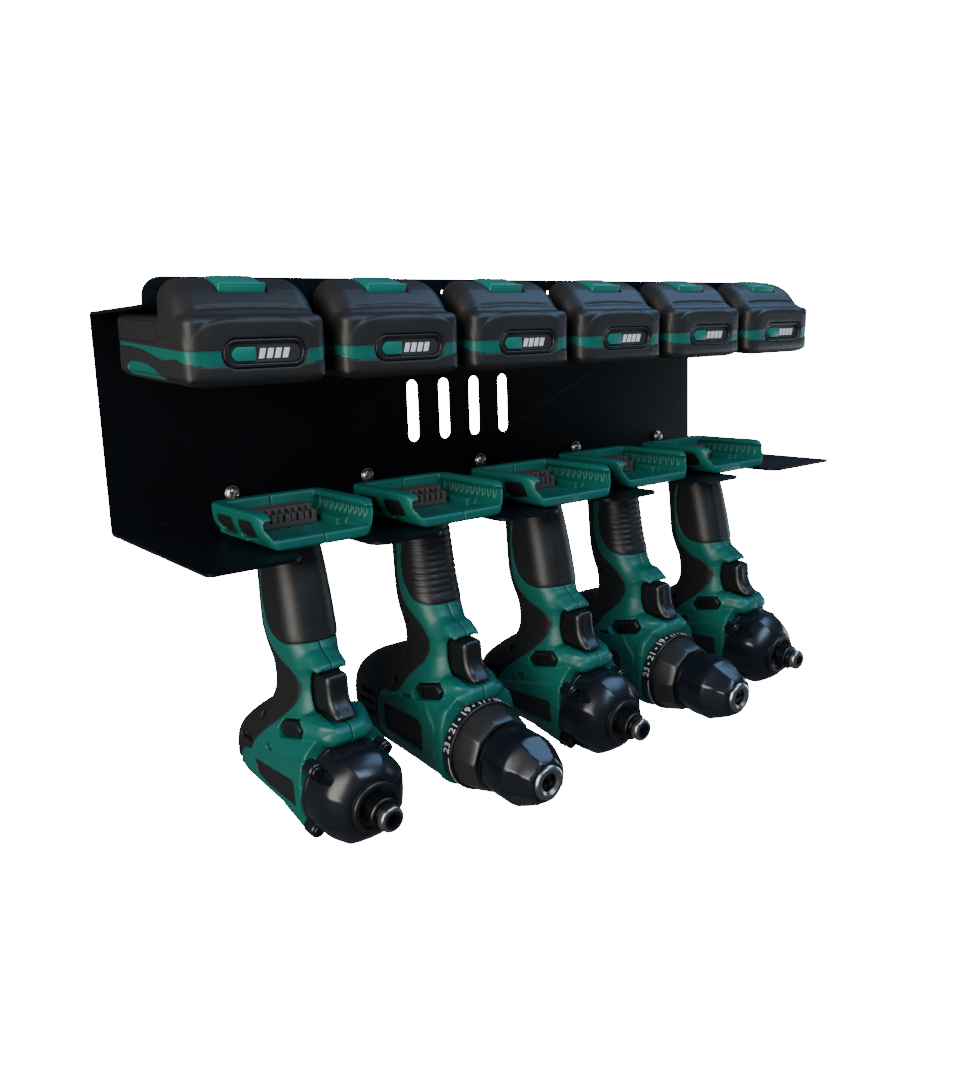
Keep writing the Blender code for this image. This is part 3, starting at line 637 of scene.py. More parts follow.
rack_low, rack_high = (tuple(v / mm for v in corner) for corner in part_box("rack"))
half_rack = (rack_high[0] - rack_low[0]) / 2
rack_bottom = rack_low[2]
ledge_top = -rack_low[2]
flange_top = rack_high[2]
shelf_front = rack_low[1]
tool_places = [across(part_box(f"tool_{i}_trigger")) for i in range(1, tool_count + 1)]
pack_places = [across(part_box(f"pack_{i}_case")) for i in range(1, pack_count + 1)]
screw_places = [across(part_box(f"wall_screw_{i}")) for i in range(1, screw_count + 1)]
sheet = 2.0
fold_radius = 3.0
ledge_front = -97.3
ledge_corner = 11
slot_half = 22.0
slot_end = -60.6
tongue_radius = 9.0
shelf_corner = 4
neck_slot = (21.5, -37.5)  # Half width and rear end
nose_notch = (28.2, -94.3, 75.4)  # Half width, rear end and top
rail_hole = (-34.9, 76.2, 1.8)  # Aside, level and radius
vent_places = [-45, -15, 15, 45]
vent_low, vent_high = (-5.5, -32), (5.5, 16)
past = 6  # How far cutting tools reach past the sheet


def sheet_outline():
    """The folded sheet from its end, with the radius of each corner."""
    inner = fold_radius - sheet
    under = ledge_top - sheet
    return rounded([
        (shelf_front, rack_bottom), (0, rack_bottom, fold_radius), (0, ledge_top, fold_radius),
        (ledge_front + sheet, ledge_top, inner), (ledge_front + sheet, flange_top),
        (ledge_front, flange_top), (ledge_front, under, fold_radius), (-sheet, under, inner),
        (-sheet, rack_bottom + sheet, inner), (shelf_front, rack_bottom + sheet),
    ], 0, 5)


def shelf_blank():
    """The shelf from above, with a round-ended slot for each tool."""
    corners = [(-half_rack, past + 3), (-half_rack, shelf_front, shelf_corner)]
    for x in tool_places:
        left, right, bend = x - slot_half, x + slot_half, slot_half * 0.98
        corners += [(left, shelf_front, tongue_radius), (left, slot_end, bend),
                    (right, slot_end, bend), (right, shelf_front, tongue_radius)]
    return rounded(corners + [(half_rack, shelf_front, shelf_corner), (half_rack, past + 3)])


def make_rack():
    rack = prism("rack_sheet", sheet_outline(), -half_rack, half_rack)
    low = rack_bottom - past
    trim = block((-half_rack - past, shelf_front - past, low), (half_rack + past, past, rack_bottom + sheet))
    trim = cut(trim, prism("blank", shelf_blank(), low - past, rack_bottom + past + 3, "z"))
    rack = cut(rack, trim)
    ends = rounded([(-half_rack, low), (-half_rack, flange_top, ledge_corner),
                    (half_rack, flange_top, ledge_corner), (half_rack, low)])
    rack = cut(rack, prism("ends", ends, shelf_front - past, past, "y"), "INTERSECT")
    beyond, below, above = -104, 62, 76
    for x in pack_places:
        half, rear = neck_slot
        rack = cut(rack, block((x - half, beyond, below), (x + half, rear, above)))
        half, rear, top = nose_notch
        rack = cut(rack, block((x - half, beyond, below), (x + half, rear, top)))
        aside, level, radius = rail_hole
        turns = [whole_turn * k / 20 for k in range(20)]
        outline = [(x + aside + radius * cos(a), level + radius * sin(a)) for a in turns]
        rack = cut(rack, prism("rail_hole", outline, beyond, -90, "y"))
    for x in vent_places:
        outline = rectangle((x + vent_low[0], vent_low[1]), (x + vent_high[0], vent_high[1]))
        rack = cut(rack, prism("vent", rounded(outline, 5.4), -past, past, "y"))
    # The bevels take the second finish, whose lighter colour is a painted highlight along the edges
    rack = bevelled(painted(rack, "powder_coat", "worn_edge"), 0.32, angle=50, edge_slot=1)
    rack = modified(faced_out(rack, 30), "WEIGHTED_NORMAL", keep_sharp=True, weight=100)
    piece("rack_sheet", in_metres(rack), "rack", ["rack"])


screw_level = -53.2
screw_turn = radians(23)
dome_radius = 5.0
dome_height = 3.2
dome_start = 2.9


def make_screws():
    """A domed zinc head with a cross recess, on a washer face, and a shank into the wall."""
    rows = [(-28, 0.3), (-25, 1.7), (2.3, 2.0), (2.3, dome_radius + 0.5), (dome_start, dome_radius + 0.5),
            (dome_start + 0.1, dome_radius)]
    rows += [(dome_start + dome_height * sin(a), dome_radius * cos(a))
             for a in (radians(8 * k) for k in range(2, 11))]
    head = turned("screw_head", rows + [(dome_start + dome_height, 0.3)], "bright_zinc", 40, sharp=35)
    for wide, high in ((3.2, 0.55), (0.55, 3.2)):
        head = cut(head, block((-wide, -9, -high), (wide, -4.6, high)))
    head = in_metres(bevelled(head, 0.15, 1))
    for i, x in enumerate(screw_places, 1):
        place = Matrix.Translation((x * mm, 0, screw_level * mm)) @ Matrix.Rotation(screw_turn * i, 4, "Y")
        piece(f"screw_head_{i}", head, "rack", [f"wall_screw_{i}"], place)


# Battery packs, in the pack's own frame: y is minus the distance forward, z = 0 is the low top

pack_half = 41.5
pack_front = 105.3
pack_low = -36.5
pack_foot = 4.4
pack_corner = 7.5
nose_round = 12
nose_rear = 67.4
pack_droop = radians(3.3)
pack_start = -34
ledge_gap = 0.3
nose_line = [(67.4, 18.9), (69.2, 19.5), (72, 19.3), (76.8, 18.1), (81, 16.3), (85.5, 13.7), (89, 10.4),
    (91.5, 7.6), (94.2, 4.7), (97.5, 2.6), (100.7, 0.8), (103.2, -2.1), (104.7, -5.9), (105.3, -9.8)]
nose_lean = [(67, 1.0), (78, 0.94), (85, 0.84), (93, 0.72), (100, 0.72), (103, 0.5), (105, 0.35)]
band_top = [(0, -16.0), (60, -17.1), (106, -17.9)]
band_bottom = [(0, -18.9), (20, -18.6), (35, -19.2), (50, -21), (62, -23), (72, -24), (85, -22.8), (95, -23),
    (103, -24.5), (106, -26)]
window_line = [(14.5, -34.4), (15, -28.4), (18.5, -26.6), (34, -26.3), (46, -27), (57, -29.2), (66, -32.2),
    (73, -34.4)]
label_line = rounded([(3.6, -14.6, 1), (63, -14.6, 1), (63, -3.2, 1), (3.6, -3.2, 10)])
bezel_middle = (3.0, -19.8)
bezel_size = (49.0, 16.0)
bezel_start = 96
bezel_floor = 101.9
gauge_floor = 99.6
arch_start = 88
crease_start = 80
gauge_middle = (-9.4, -20.1)
release_forward = 76.8
release_rise = 17.5
release_slope = radians(14.5)
release_pocket = (14.8, 11.0, 14)  # Half width, half length and depth
rail_box = ((-27, -58, 2.5), (27, -4, 10.8))
neck_box = ((-21, -58, -4), (21, -4, 4))
far = 9.0  # A distance from a border that stands for none there


def stadium_distance(u, v, middle, size):
    half = (size[0] - size[1]) / 2
    return np.hypot(np.maximum(np.abs(u - middle[0]) - half, 0), v - middle[1]) - size[1] / 2


def pack_marks(x, y, z):
    """Distances to the teal band, its lower groove, the windows, the label's place and the bezel."""
    forward = np.clip(-y, 0, 106)
    low = table(band_bottom, forward)
    band = both(z - table(band_top, forward), low - z)
    side = np.abs(x) > pack_half - 6
    window = np.where(side, outside(window_line, -y, z), far)
    label = np.where(side, outside(label_line, -y, z), far)
    bezel = np.where(forward > bezel_start, stadium_distance(x, z, bezel_middle, bezel_size), far)
    return band, low - z, window, label, bezel


def arch_level(x):
    """Top edge of the lower front panel."""
    return -0.2 - 3.2 * (np.abs(x) / 28) ** 2 - 2.2 * (np.abs(x) / 33) ** 8


def gauge_outline(grow=0.0):
    x, z = gauge_middle
    left, right, shoulder = x - 7.4 - grow, x + 7.0 + grow, x - 4.4
    low, high = z - 3.8 - grow, z + 3.8 + grow
    return rounded([(left, z - 0.4, 2.0), (shoulder, low, 2.4), (right, low, 1.0), (right, high, 1.0),
                    (shoulder, high, 2.4)], 0, 8)


def pack_field(x, y, z):
    forward = -y
    wide = np.abs(x)
    plan = meet(wide - pack_half, forward - pack_front, pack_corner)
    top = table(nose_line, np.clip(forward, nose_rear, pack_front))
    nose = meet(meet(plan, (z - top) * table(nose_lean, forward), nose_round), nose_rear - forward, 2.5)
    rear = meet(plan + 0.2, z, 4.5)
    body = meet(blend(nose, rear, 1.2), -forward, 2.5)
    body = meet(body, pack_low - z, 0.6)
    body = meet(body, (wide - pack_half + pack_low - z + pack_foot) / sqrt2, 0.5)
    body = meet(body, (forward - pack_front + pack_low - z + pack_foot) / sqrt2, 0.5)
    band, under, window, label, bezel = pack_marks(x, y, z)
    body = body + 0.45 * raised(band, 0.35) + 0.5 * near(under, 0.5) + 0.45 * near(label, 0.45)
    body = body - 0.5 * near(window - 1.3, 0.9) + 0.9 * raised(window, 0.4)
    arch = (z - arch_level(x)) / 1.15
    body = body - np.where(forward > arch_start, raised(arch, 0.5) * np.clip((38 - wide) / 9, 0, 1), 0)
    crease = np.where(forward > crease_start, (z - 4.4 + 0.0012 * x**2) / 1.2, far)
    body = body + near(crease, 0.85) * np.clip((35 - wide) / 8, 0, 1)
    front = forward > bezel_start
    body = np.where(front, carve(body, meet(bezel, bezel_floor - forward, 0.3), 0.7), body)
    gauge = outside(gauge_outline(0.5), x, z)
    body = np.where(front, carve(body, both(gauge, gauge_floor - forward), 0.3), body)
    rise, ahead = z - release_rise, forward - release_forward
    local_z = rise * cos(release_slope) + ahead * sin(release_slope)
    local_f = ahead * cos(release_slope) - rise * sin(release_slope)
    half_wide, half_long, depth = release_pocket
    pocket = meet(meet(wide - half_wide, np.abs(local_f) - half_long, 1.2), -local_z - depth, 0.5)
    body = carve(body, pocket, 0.5)
    rail = box_distance(*rail_box, x, y, z, 0.8)
    neck = box_distance(*neck_box, x, y, z, 0.5)
    return either(body, rail, neck)


def pack_case():
    mesh = clay_mesh("pack_case", pack_field, (-43, -108, -38.5), (43, 1.6, 21), 0.8, 0.25)
    x, y, z = vertices_of(mesh)
    band, under, window, label, bezel = pack_marks(x, y, z)
    band = np.where((bezel < 0.8) & (-y > bezel_start), 2.0, band)
    mark(mesh, "band", either(band, window))
    # The nearest groove, where the shell finish paints shade
    line = np.where(np.abs(under) < np.abs(label), under, label)
    mark(mesh, "line", np.where(band < -0.3, far, line))
    return finished(mesh, "pack_shell")


def bezel_outline(inset):
    """The bezel's round-ended outline, inset in both its sizes."""
    x, z = bezel_middle
    half_wide, half_high = (bezel_size[0] - inset) / 2, (bezel_size[1] - inset) / 2
    corners = rectangle((x - half_wide, z - half_high), (x + half_wide, z + half_high))
    return rounded(corners, half_high * 0.98, 12)


def pierced(plate, way, bevel, segments, finish):
    """A plate of the pack's front with a way through it, and its edges broken."""
    return finished(bevelled(cut(plate, way), bevel, segments), finish)


def bezel_ring():
    plate = prism("ring", bezel_outline(0.8), -105.7, -bezel_floor, "y")
    return pierced(plate, prism("hole", bezel_outline(5.2), -109, -99, "y"), 0.7, 3, "pack_dark")


def bezel_face():
    """The plate in the ring, open where the gauge button goes in."""
    plate = prism("face", bezel_outline(5.6), -103.9, -101.5, "y")
    return pierced(plate, prism("way", gauge_outline(0.25), -106, -100, "y"), 0.2, 2, "pack_face")


def lamp_bars():
    """The four slanting lamps of the charge gauge."""
    low, high, lean, half, pitch = -22.8, -17.4, 1.4, 1.5, 4.7
    bars = []
    for k in range(4):
        x = 0.7 + pitch * k
        outline = [(x - half, low), (x + half, low), (x + half + lean, high), (x - half + lean, high)]
        bars.append(prism("bar", outline, -104.75, -103.0, "y"))
    return finished(bevelled(merged("bars", bars), 0.12, 1), "lamp_white")


def gauge_button():
    button = bevelled(prism("gauge_button", gauge_outline(), -105.2, -102.0, "y"), 0.6)
    return finished(shaded(button, 35), "button_teal")


def release_button():
    """A block with a stepped front lip; it lies in its own slope."""
    body = bevelled(block((-14, -10, -9), (14, 10, 1.3)), 1.5, 4)
    lip = bevelled(block((-13.8, -9.8, -9), (13.8, -7.6, 2.1)), 0.7, 3)
    crown = bevelled(block((-12.2, -7.0, -3), (12.2, 8.6, 1.9)), 1.6, 3)
    return finished(merged("release_button", [body, lip, crown]), "button_teal")


def make_packs():
    tilt = Matrix.Rotation(pack_droop, 4, "X")
    straight = Matrix.Identity(4)
    slope = Matrix.Translation((0, -release_forward * mm, release_rise * mm))
    slope = slope @ Matrix.Rotation(release_slope, 4, "X")
    parts = [
        ("shell", pack_case(), straight, "", "pack_plastic", "case"),
        ("bezel_ring", bezel_ring(), straight, "", "pack_plastic", ""),
        ("bezel_face", bezel_face(), straight, "", "pack_plastic", ""),
        ("lamp_bars", lamp_bars(), straight, "", "pack_plastic", ""),
        ("gauge", gauge_button(), straight, "_gauge", "pack_button", "gauge_button"),
        ("release", release_button(), slope, "_release", "pack_button", "release_button"),
    ]
    for i, x in enumerate(pack_places, 1):
        pack = f"pack_{i}"
        place = Matrix.Translation((x * mm, pack_start * mm, (ledge_top - sheet - ledge_gap) * mm)) @ tilt
        for name, mesh, turn, body, slot, node in parts:
            piece(f"{pack}_{name}", mesh, pack + body, [f"{pack}_{node}"] if node else [], place @ turn)


# Tools, in their own frame: y is minus the distance forward of the handle's centre line, z = 0 is the
# foot's underside. The barrel's frame has s forward along its axis and h up from it.

axis_drop = 141.0
barrel_slope = radians(3.5)
nose_starts = {"driver": 54.3, "drill": 55.3}
case_length = 36.0
lug_aside, lug_above = 23.3, 18.2
foot_half_width = 38.0
foot_front = 49.0
foot_rear = 28.5
foot_height = 21.4
foot_corner = 12.5
heel_corner = 9
toe_round = 14.5
handle_round = 14.5
tail_round = 13
slope_rise = 11.5
slope_run = 7.5
split = 0.12
chuck_seat = 26.0
holder_gap = 0.3
tool_top = -67.9
block_rear = 19.2


def along_barrel(y, z):
    """(s, h) of a point: how far along the barrel and how high over its axis."""
    lean, drop = sin(barrel_slope), z + axis_drop
    return -y * cos(barrel_slope) - drop * lean, drop * cos(barrel_slope) - y * lean


handle_lines = {
    "driver": [(-19, 1), (-19.5, -4), (-24, -19), (-29.2, -40), (-32.2, -55), (-34.5, -64), (-39, -69.8),
        (-44.8, -72.2), (-46.2, -74.2), (-44.8, -76.2), (-42, -77.4), (-40.5, -81), (-39.6, -90), (-41, -98),
        (-44, -101.2), (-52, -102.2), (-60, -103.4), (-64.6, -105.6), (-66.2, -108.8), (-65.6, -112.6),
        (-61, -114.6), (-50, -114.4), (-38, -120), (-20, -128), (8, -126), (9.4, -104), (8.8, -96), (9, -88),
        (10.4, -78), (12.6, -71), (15.6, -60), (17.4, -46), (19.2, -24), (22.6, -4), (23, 1)],
    "drill": [(-17, 1), (-17.3, -4), (-19.2, -19), (-22.6, -40), (-26.2, -55), (-30.2, -64), (-35.5, -69.6),
        (-42, -72.2), (-43.4, -74.2), (-42.4, -76.2), (-41, -77.4), (-40, -81), (-39.6, -90), (-41, -98),
        (-44, -101.2), (-50, -102.2), (-57, -103.4), (-61.4, -105.6), (-62.8, -108.8), (-62, -112.6),
        (-58, -114.6), (-50, -114.4), (-38, -120), (-20, -128), (12, -126), (14, -104), (12.2, -94),
        (11.4, -86), (12.2, -76), (14.2, -68), (16.8, -56), (18.6, -42), (20.2, -22), (22.8, -4), (23, 1)],
}
chin_fronts = {"driver": -66.6, "drill": -63.2}
tail_lines = {
    "driver": [(2, -98), (10.5, -104), (17.5, -108.6), (26.5, -115.6), (35.5, -124.4), (39.8, -134),
        (39.8, -147), (35, -157.6), (24, -165.4), (8, -169.6), (-20, -172), (-80, -176), (-80, -112),
        (-30, -110), (-10, -103)],
    "drill": [(6, -92), (20, -94.6), (34, -98.4), (46, -104), (54, -111), (58, -121), (58.2, -136),
        (55.4, -148), (47, -158), (33, -165), (12, -169.4), (-20, -172), (-80, -176), (-80, -112),
        (-30, -110), (-10, -99)],
}
# Half width by height over the barrel's axis
width_rows = {
    "driver": [(142, 17), (122, 17.6), (101, 18), (86, 18.2), (77, 17.5), (70, 16.3), (62, 14.9), (53, 14.7),
        (46, 15.4), (41, 17), (36, 19.4), (31, 22.2), (24, 26), (17, 28.6), (8, 29.4), (0, 29.4), (-9, 29),
        (-15, 27.2), (-20, 23.8), (-24, 19.2), (-27, 13.2), (-29.3, 4)],
    "drill": [(142, 17), (122, 17.4), (101, 17.7), (86, 18), (77, 17.4), (70, 16.3), (62, 15.2), (53, 15.2),
        (46, 17), (41, 19.4), (36, 22), (31, 24.4), (24, 27), (17, 28.8), (8, 29.5), (0, 29.5), (-9, 29.2),
        (-15, 27.6), (-20, 24.4), (-24, 19.8), (-27, 13.6), (-29.3, 4)],
}
# The black overmouldings' borders from the side
panel_lines = {
    "driver": [(1, -1.5), (1.6, -10), (3.2, -21), (4, -31), (3.2, -40), (0.6, -49.5), (-3.4, -56),
        (-9.6, -60.3), (-19, -62), (-30, -61.4), (-50, -58), (-60, -30), (-50, -1.5), (-20, -1.5)],
    "drill": [(-2, -1.5), (-1.4, -10), (0.2, -21), (0.8, -31), (-0.6, -41), (-5.2, -48.5), (-12.8, -54.4),
        (-24, -57), (-34, -56), (-50, -50), (-60, -30), (-50, -1.5), (-20, -1.5)],
}
mould_lines = {
    "driver": [(4.4, -1.5), (5.2, -21), (5.8, -34), (5.4, -47), (2.6, -59.5), (-2.4, -68), (-12.4, -74.7),
        (-23.4, -78.6), (-30.5, -83), (-31.5, -90), (-27, -99), (-13.6, -112), (2.3, -125), (11.4, -136),
        (16, -141), (24.5, -141.5), (28, -150), (20, -156), (14, -180), (80, -180), (80, -1.5)],
    "drill": [(5, -1.5), (5.8, -20), (5.8, -37), (2.8, -50), (-4.2, -60.5), (-13.6, -66.5), (-22.2, -74),
        (-25.6, -82), (-21.6, -93), (-10.6, -105), (-6.6, -112), (1, -119), (15, -120.5), (20, -130),
        (20, -148), (12, -156), (0, -180), (80, -180), (80, -1.5)],
}
frame_lines = {
    "driver": [(22, -138.5), (-12, -131), (-58, -121.5), (-60, -128), (-52, -155.5), (-20, -155),
        (14.6, -151), (22, -147)],
    "drill": [(17, -124.5), (-22, -112.6), (-30, -113.6), (-47.6, -129), (-49, -150), (-34, -152.6),
        (14, -148), (17, -144)],
}
badge_lines = {
    "driver": [(5, -139.8), (-46, -136.4), (-47.5, -151.8), (-12, -151.4), (3.4, -147.6)],
    "drill": [(11, -129.2), (-29, -129.2), (-33, -133.2), (-33, -149.4), (8, -146.4), (11, -143.6)],
}
# y, level, length and height of each slot
vents = {
    "driver": [(15.5, -128.2, 16, 4.2), (-14.5, -126.4, 7, 3.6), (30, -141, 9, 3), (30, -148, 9, 3)],
    "drill": [(33, -126.4, 17, 3.2), (34, -133.6, 17, 3.2), (33, -141, 17, 3.2), (-14, -117.6, 10, 1.8)],
}
trigger_line = [(-61, -102.4), (-62, -101), (-60.4, -98.8), (-57.2, -95.6), (-55, -91), (-54.2, -85),
    (-53.8, -80), (-52, -77.2), (-46, -76.5), (-38, -76.5), (-30, -76.6), (-29.4, -84), (-29.4, -96),
    (-30, -102.8), (-44, -103.1), (-54, -103.1)]
screw_wells = ((-2, -73.5, 13.2), (2, -112, 17.5))  # y, level and inner end
screw_well_radius = 2.4
switch_middle = Vector((-32.5, -111.0))
switch_slope = Matrix.Rotation(radians(-12), 2)
switch_half = (13.5, 4.2)
switch_reach = 23.2


def housing_marks(kind, y, z):
    """Distances to the grip panel, the back's moulding, the badge's frame and the badge."""
    panel = outside(smooth_line(panel_lines[kind]), y, z)
    mould = outside(smooth_line(mould_lines[kind]), y, z)
    badge = outside(rounded(badge_lines[kind], 1.2, 4), y, z)
    ridge = outside(rounded(frame_lines[kind], 2.0, 4), y, z)
    return panel, both(mould, 1.0 - ridge), ridge, badge


def lozenge(grow=0.0):
    long, high = switch_half[0] + grow, switch_half[1] + grow
    shoulder = long - high * 0.8
    corners = [(-long, 0), (-shoulder, -high), (shoulder, -high)]
    corners += [(-across, -up) for across, up in corners]
    return [tuple(switch_middle + switch_slope @ Vector(corner)) for corner in corners]


def foot_slope(x, z):
    """Distance outside the plane that draws the foot's lower sides in."""
    rise, run = slope_rise, slope_run
    return ((x - foot_half_width) * rise - (z - rise) * run) / np.hypot(rise, run)


def foot_skin(x, y, z):
    plan = meet(meet(x - foot_half_width, -y - foot_front, foot_corner), y - foot_rear, heel_corner)
    return meet(meet(meet(plan, z - foot_height, 1.2), -z, 2.2), foot_slope(x, z), 3.0)


def foot_recess(y, z):
    """Distance to the two shallow recesses in the foot's outer side."""
    front = rounded([(-37, 6.2, 4), (-13, 4.4, 2.5), (-13, 15.6, 2.5), (-33, 16.4, 4.5)], 0, 8)
    rear = rounded([(-6.5, 4.4, 2.5), (12, 4.6, 3), (19, 9.8, 3), (15, 15.6, 3), (-6.5, 15.6, 2.5)], 0, 8)
    return either(outside(front, y, z), outside(rear, y, z))


def foot_field(x, y, z):
    """The shoe for a battery: +x half, with its lips, ribs and outer recesses."""
    def box(low, high, radius):
        return box_distance(low, high, x, y, z, radius)

    skin = foot_skin(x, y, z)
    toe = [(-foot_front, -5), (60, -5), (60, foot_height), (-foot_front, foot_height, toe_round)]
    shoe = meet(skin, outside(rounded(toe, 0, 12), y, z), 0.8)
    heel = rounded([(-80, 0), (15.5, 0, 4), (foot_rear, 11, 4), (foot_rear, 40), (-80, 40)], 0, 6)
    shoe = meet(shoe, outside(heel, y, z), 0.8)
    well = both(box((-40, -70, 3.8), (34.8, 19.5, 17.4), 1.6), foot_slope(x, z) + 3.1)
    gap = box((-40, -70, 3.8), (30.2, 19.5, 40), 1.2)
    shoe = carve(shoe, either(well, gap), 0.5)
    front_lip = box((-40, -foot_front, 0), (foot_half_width, -foot_front + 5, 6.6), 1.4)
    shoe = either(shoe, both(front_lip, skin))
    rib = np.abs((y + 46) % 6.0 - 3.0) - 1.0
    ribs = both(rib, box((32.6, -38, 7.6), (35, 16, 15.2), 0.4))
    shoe = either(shoe, both(ribs, skin + 1))
    shoe = either(shoe, box((24, -20, 3), (35, 19, 8.4), 0.6))
    return carve(shoe, both(meet(foot_recess(y, z), -skin - 1.3, 0.3), 27 - x), 0.5)


def housing_field(kind):
    """The +x half of a tool's housing with its foot."""
    front = nose_starts[kind]
    tip = chin_fronts[kind]
    handle_line = smooth_line(handle_lines[kind])
    tail_line = smooth_line(tail_lines[kind])
    chin_line = rounded([(-40, -100.8, 1), (-40, -118, 1), (tip + 4.2, -116.4, 3), (tip, -112.4, 3),
                         (tip + 0.4, -106.4, 4), (tip + 9, -102.6, 4)], 0, 5)
    beak_line = rounded([(-20, -66, 1), (-20, -78, 1), (-45.8, -76.6, 1.2), (-47.2, -74.0, 2),
                         (-38, -67, 6)], 0, 5)
    guard_line = rounded([(-70, -75.4), (-47.5, -75.8, 3), (-46.2, -78.4, 3), (-45.6, -96.5, 4),
                          (-48, -101.8, 4), (-70, -103.4)], 0, 6)

    def field(x, y, z):
        s, h = along_barrel(y, z)
        side = x - table(width_rows[kind], h)
        handle = meet(outside(handle_line, y, z), side, handle_round)
        tail = meet(outside(tail_line, y, z), side, tail_round)
        tail = meet(tail, s - front + 0.3, 0.7)
        body = blend(handle, tail, 2.5)
        chin = meet(outside(chin_line, y, z), x - 15.5 - 0.3 * (y - tip), 8.0)
        body = blend(body, meet(chin, -h + 26.4, 0.8), 1.5)
        body = blend(body, meet(outside(beak_line, y, z), x - 11.6, 5.0), 3.0)
        # The opening for the trigger, with a raised rim
        rim = outside(guard_line, y, z)
        body = body - 0.9 * near(rim - 1.4, 1.0) * (x > 7)
        body = carve(body, both(rim + 1.0, 8.0 - x), 0.5)
        panel, mould, ridge, badge = housing_marks(kind, y, z)
        body = body + 0.6 * raised(panel, 0.3) - 0.35 * raised(mould, 0.5)
        body = body + 0.55 * near(panel, 0.5) + 0.45 * near(mould, 0.5)
        # The badge with its frame, and the vents, on the barrel's flank
        flank = (x > 14) & (h < 34)
        body = body - (0.8 * raised(ridge, 0.5) + 0.7 * near(ridge + 1.1, 0.8)) * flank
        body = body + 1.3 * raised(badge, 0.35) * flank
        for at, level, long, high in vents[kind]:
            slot = rectangle((at - long / 2, level - high / 2), (at + long / 2, level + high / 2))
            gap = outside(rounded(slot, high * 0.45, 5), y, z)
            body = body - 0.5 * near(gap - 0.8, 0.7) * flank
            body = carve(body, both(gap, -side - 3.0), 0.3)
        for at, level, deep in screw_wells:
            body = carve(body, both(np.hypot(y - at, z - level) - screw_well_radius, deep - x), 0.3)
        if kind == "drill":
            body = body - 1.3 * np.exp(-(((s - 51.0) / 3.4) ** 4)) * (h < 29)
        else:
            back = 0.06 * (front - s)
            rail = np.hypot(x - lug_aside + back, h + lug_above - back) - 4.4
            body = blend(body, meet(meet(rail, s - front, 0.5), 24 - s, 3.0), 1.2)
        # The way through for the direction switch, and the trigger's pocket
        way = outside(rounded(lozenge(0.9), 0.8, 4), y, z)
        body = body - 0.5 * near(way - 0.9, 0.8) * (x > 10)
        body = carve(body, both(way, 16.5 - x), 0.3)
        pocket = both(x - 8.7, y + 19.5, z + 76.0, -z - 103.9)
        body = either(carve(body, pocket, 0.8), foot_field(x, y, z))
        if kind == "drill":
            # The nose that the clutch collar turns on
            spigot = both(np.hypot(x, h) - 19, s - 81.3, 40 - s)
            bore = both(np.hypot(x, h) - 7.4, 60 - s)
            body = both(either(body, spigot), -bore)
        return both(body, split - x)

    return field


def housing_mesh(kind):
    low = (-1.0, -84 if kind == "drill" else -75, -173.5)
    mesh = clay_mesh(f"{kind}_half", housing_field(kind), low, (40.5, 61, 23.5), 0.85, 0.37)
    x, y, z = vertices_of(mesh)
    panel, mould, _, badge = housing_marks(kind, y, z)
    black = either(panel, mould, np.where((x > 14) & (z < -110), badge, far))
    side = (x > 28) & (z > 3) & (z < 18) & (foot_skin(x, y, z) > -2.0)
    recess = np.where(side, foot_recess(y, z) + 0.35, far)
    black = either(black, recess)
    black = np.where((z > -1.6) & (recess > 1.0), far, black)
    s, h = along_barrel(y, z)
    black = np.where((kind == "drill") & (s > 56) & (np.hypot(x, h) < 20), -5.0, black)
    mark(mesh, "black", black)
    return finished(mesh, "housing")


def grip_mesh(kind):
    """The rubber panel round the handle's front, in one piece across the split."""
    line = smooth_line(handle_lines[kind])
    panel_line = smooth_line(panel_lines[kind])

    def field(x, y, z):
        wide = np.abs(x)
        h = along_barrel(y, z)[1]
        skin = meet(outside(line, y, z), wide - table(width_rows[kind], h), handle_round)
        panel = outside(panel_line, y, z)
        if kind == "drill":
            wave = np.abs(((z + 1.0) / 4.1) % 1.0 - 0.5) * 2
            skin = skin + 0.75 * wave**3 * raised(panel + 2.2, 1.2) * (z > -52)
        layer = both(skin - 0.45, -skin - 2.6)
        return meet(meet(layer, panel + 0.25, 0.8), z + 1.7, 0.3)

    mesh = clay_mesh(f"{kind}_grip", field, (-19.5, -48, -63.5), (19.5, 8.5, -1.0), 0.8, 0.4)
    return finished(mesh, "front_rubber")


def trigger_mesh():
    outline = smooth_line(trigger_line)

    def field(x, y, z):
        hollow = 0.5 * np.exp(-((x / 5.0) ** 2) - ((z + 88) / 8.0) ** 2) * (y < -44)
        return meet(outside(outline, y, z), np.abs(x) - 7.9, 4.6) + hollow

    mesh = clay_mesh("trigger", field, (-9, -65, -105), (9, -28, -75), 0.5, 0.9)
    return finished(mesh, "polished_black")


def switch_mesh():
    """The sliding bar, with a ridged thumb face at each end."""
    bar = bevelled(prism("switch", lozenge(), -switch_reach, switch_reach), 0.9, 3)
    for side in (-1, 1):
        for k in (-1, 0, 1):
            spot = Vector((side * switch_reach, *(switch_middle + switch_slope @ Vector((5.0 * k, 0)))))
            half = Vector((0.7, 0.5, 2.6))
            bar = cut(bar, block(tuple(spot - half), tuple(spot + half)))
    return finished(faced_out(bar, 40), "black_plastic")


terminal_low = 3.9
terminal_half = 20
terminal_height = 11.5


def terminal_mesh():
    low, rear = terminal_low, block_rear
    body = block((-terminal_half, rear - 22, low), (terminal_half, rear, low + terminal_height))
    for k in range(8):
        x = -15.75 + 4.5 * k
        body = cut(body, block((x - 0.9, rear - 26, low + 3), (x + 0.9, rear - 14, low + 20)))
    past_end = terminal_half + 1
    body = cut(body, block((-past_end, rear - 23, low + 8.4), (past_end, rear - 16, low + 20)))
    return finished(bevelled(body, 0.35), "terminal_block")


def contact_mesh():
    blades = [block((x - 0.4, block_rear - 20.5, 7.2), (x + 0.4, block_rear - 14.4, 13.8))
              for x in (-15.75 + 9.0 * k for k in range(4))]
    return finished(merged("contacts", blades), "bright_steel")


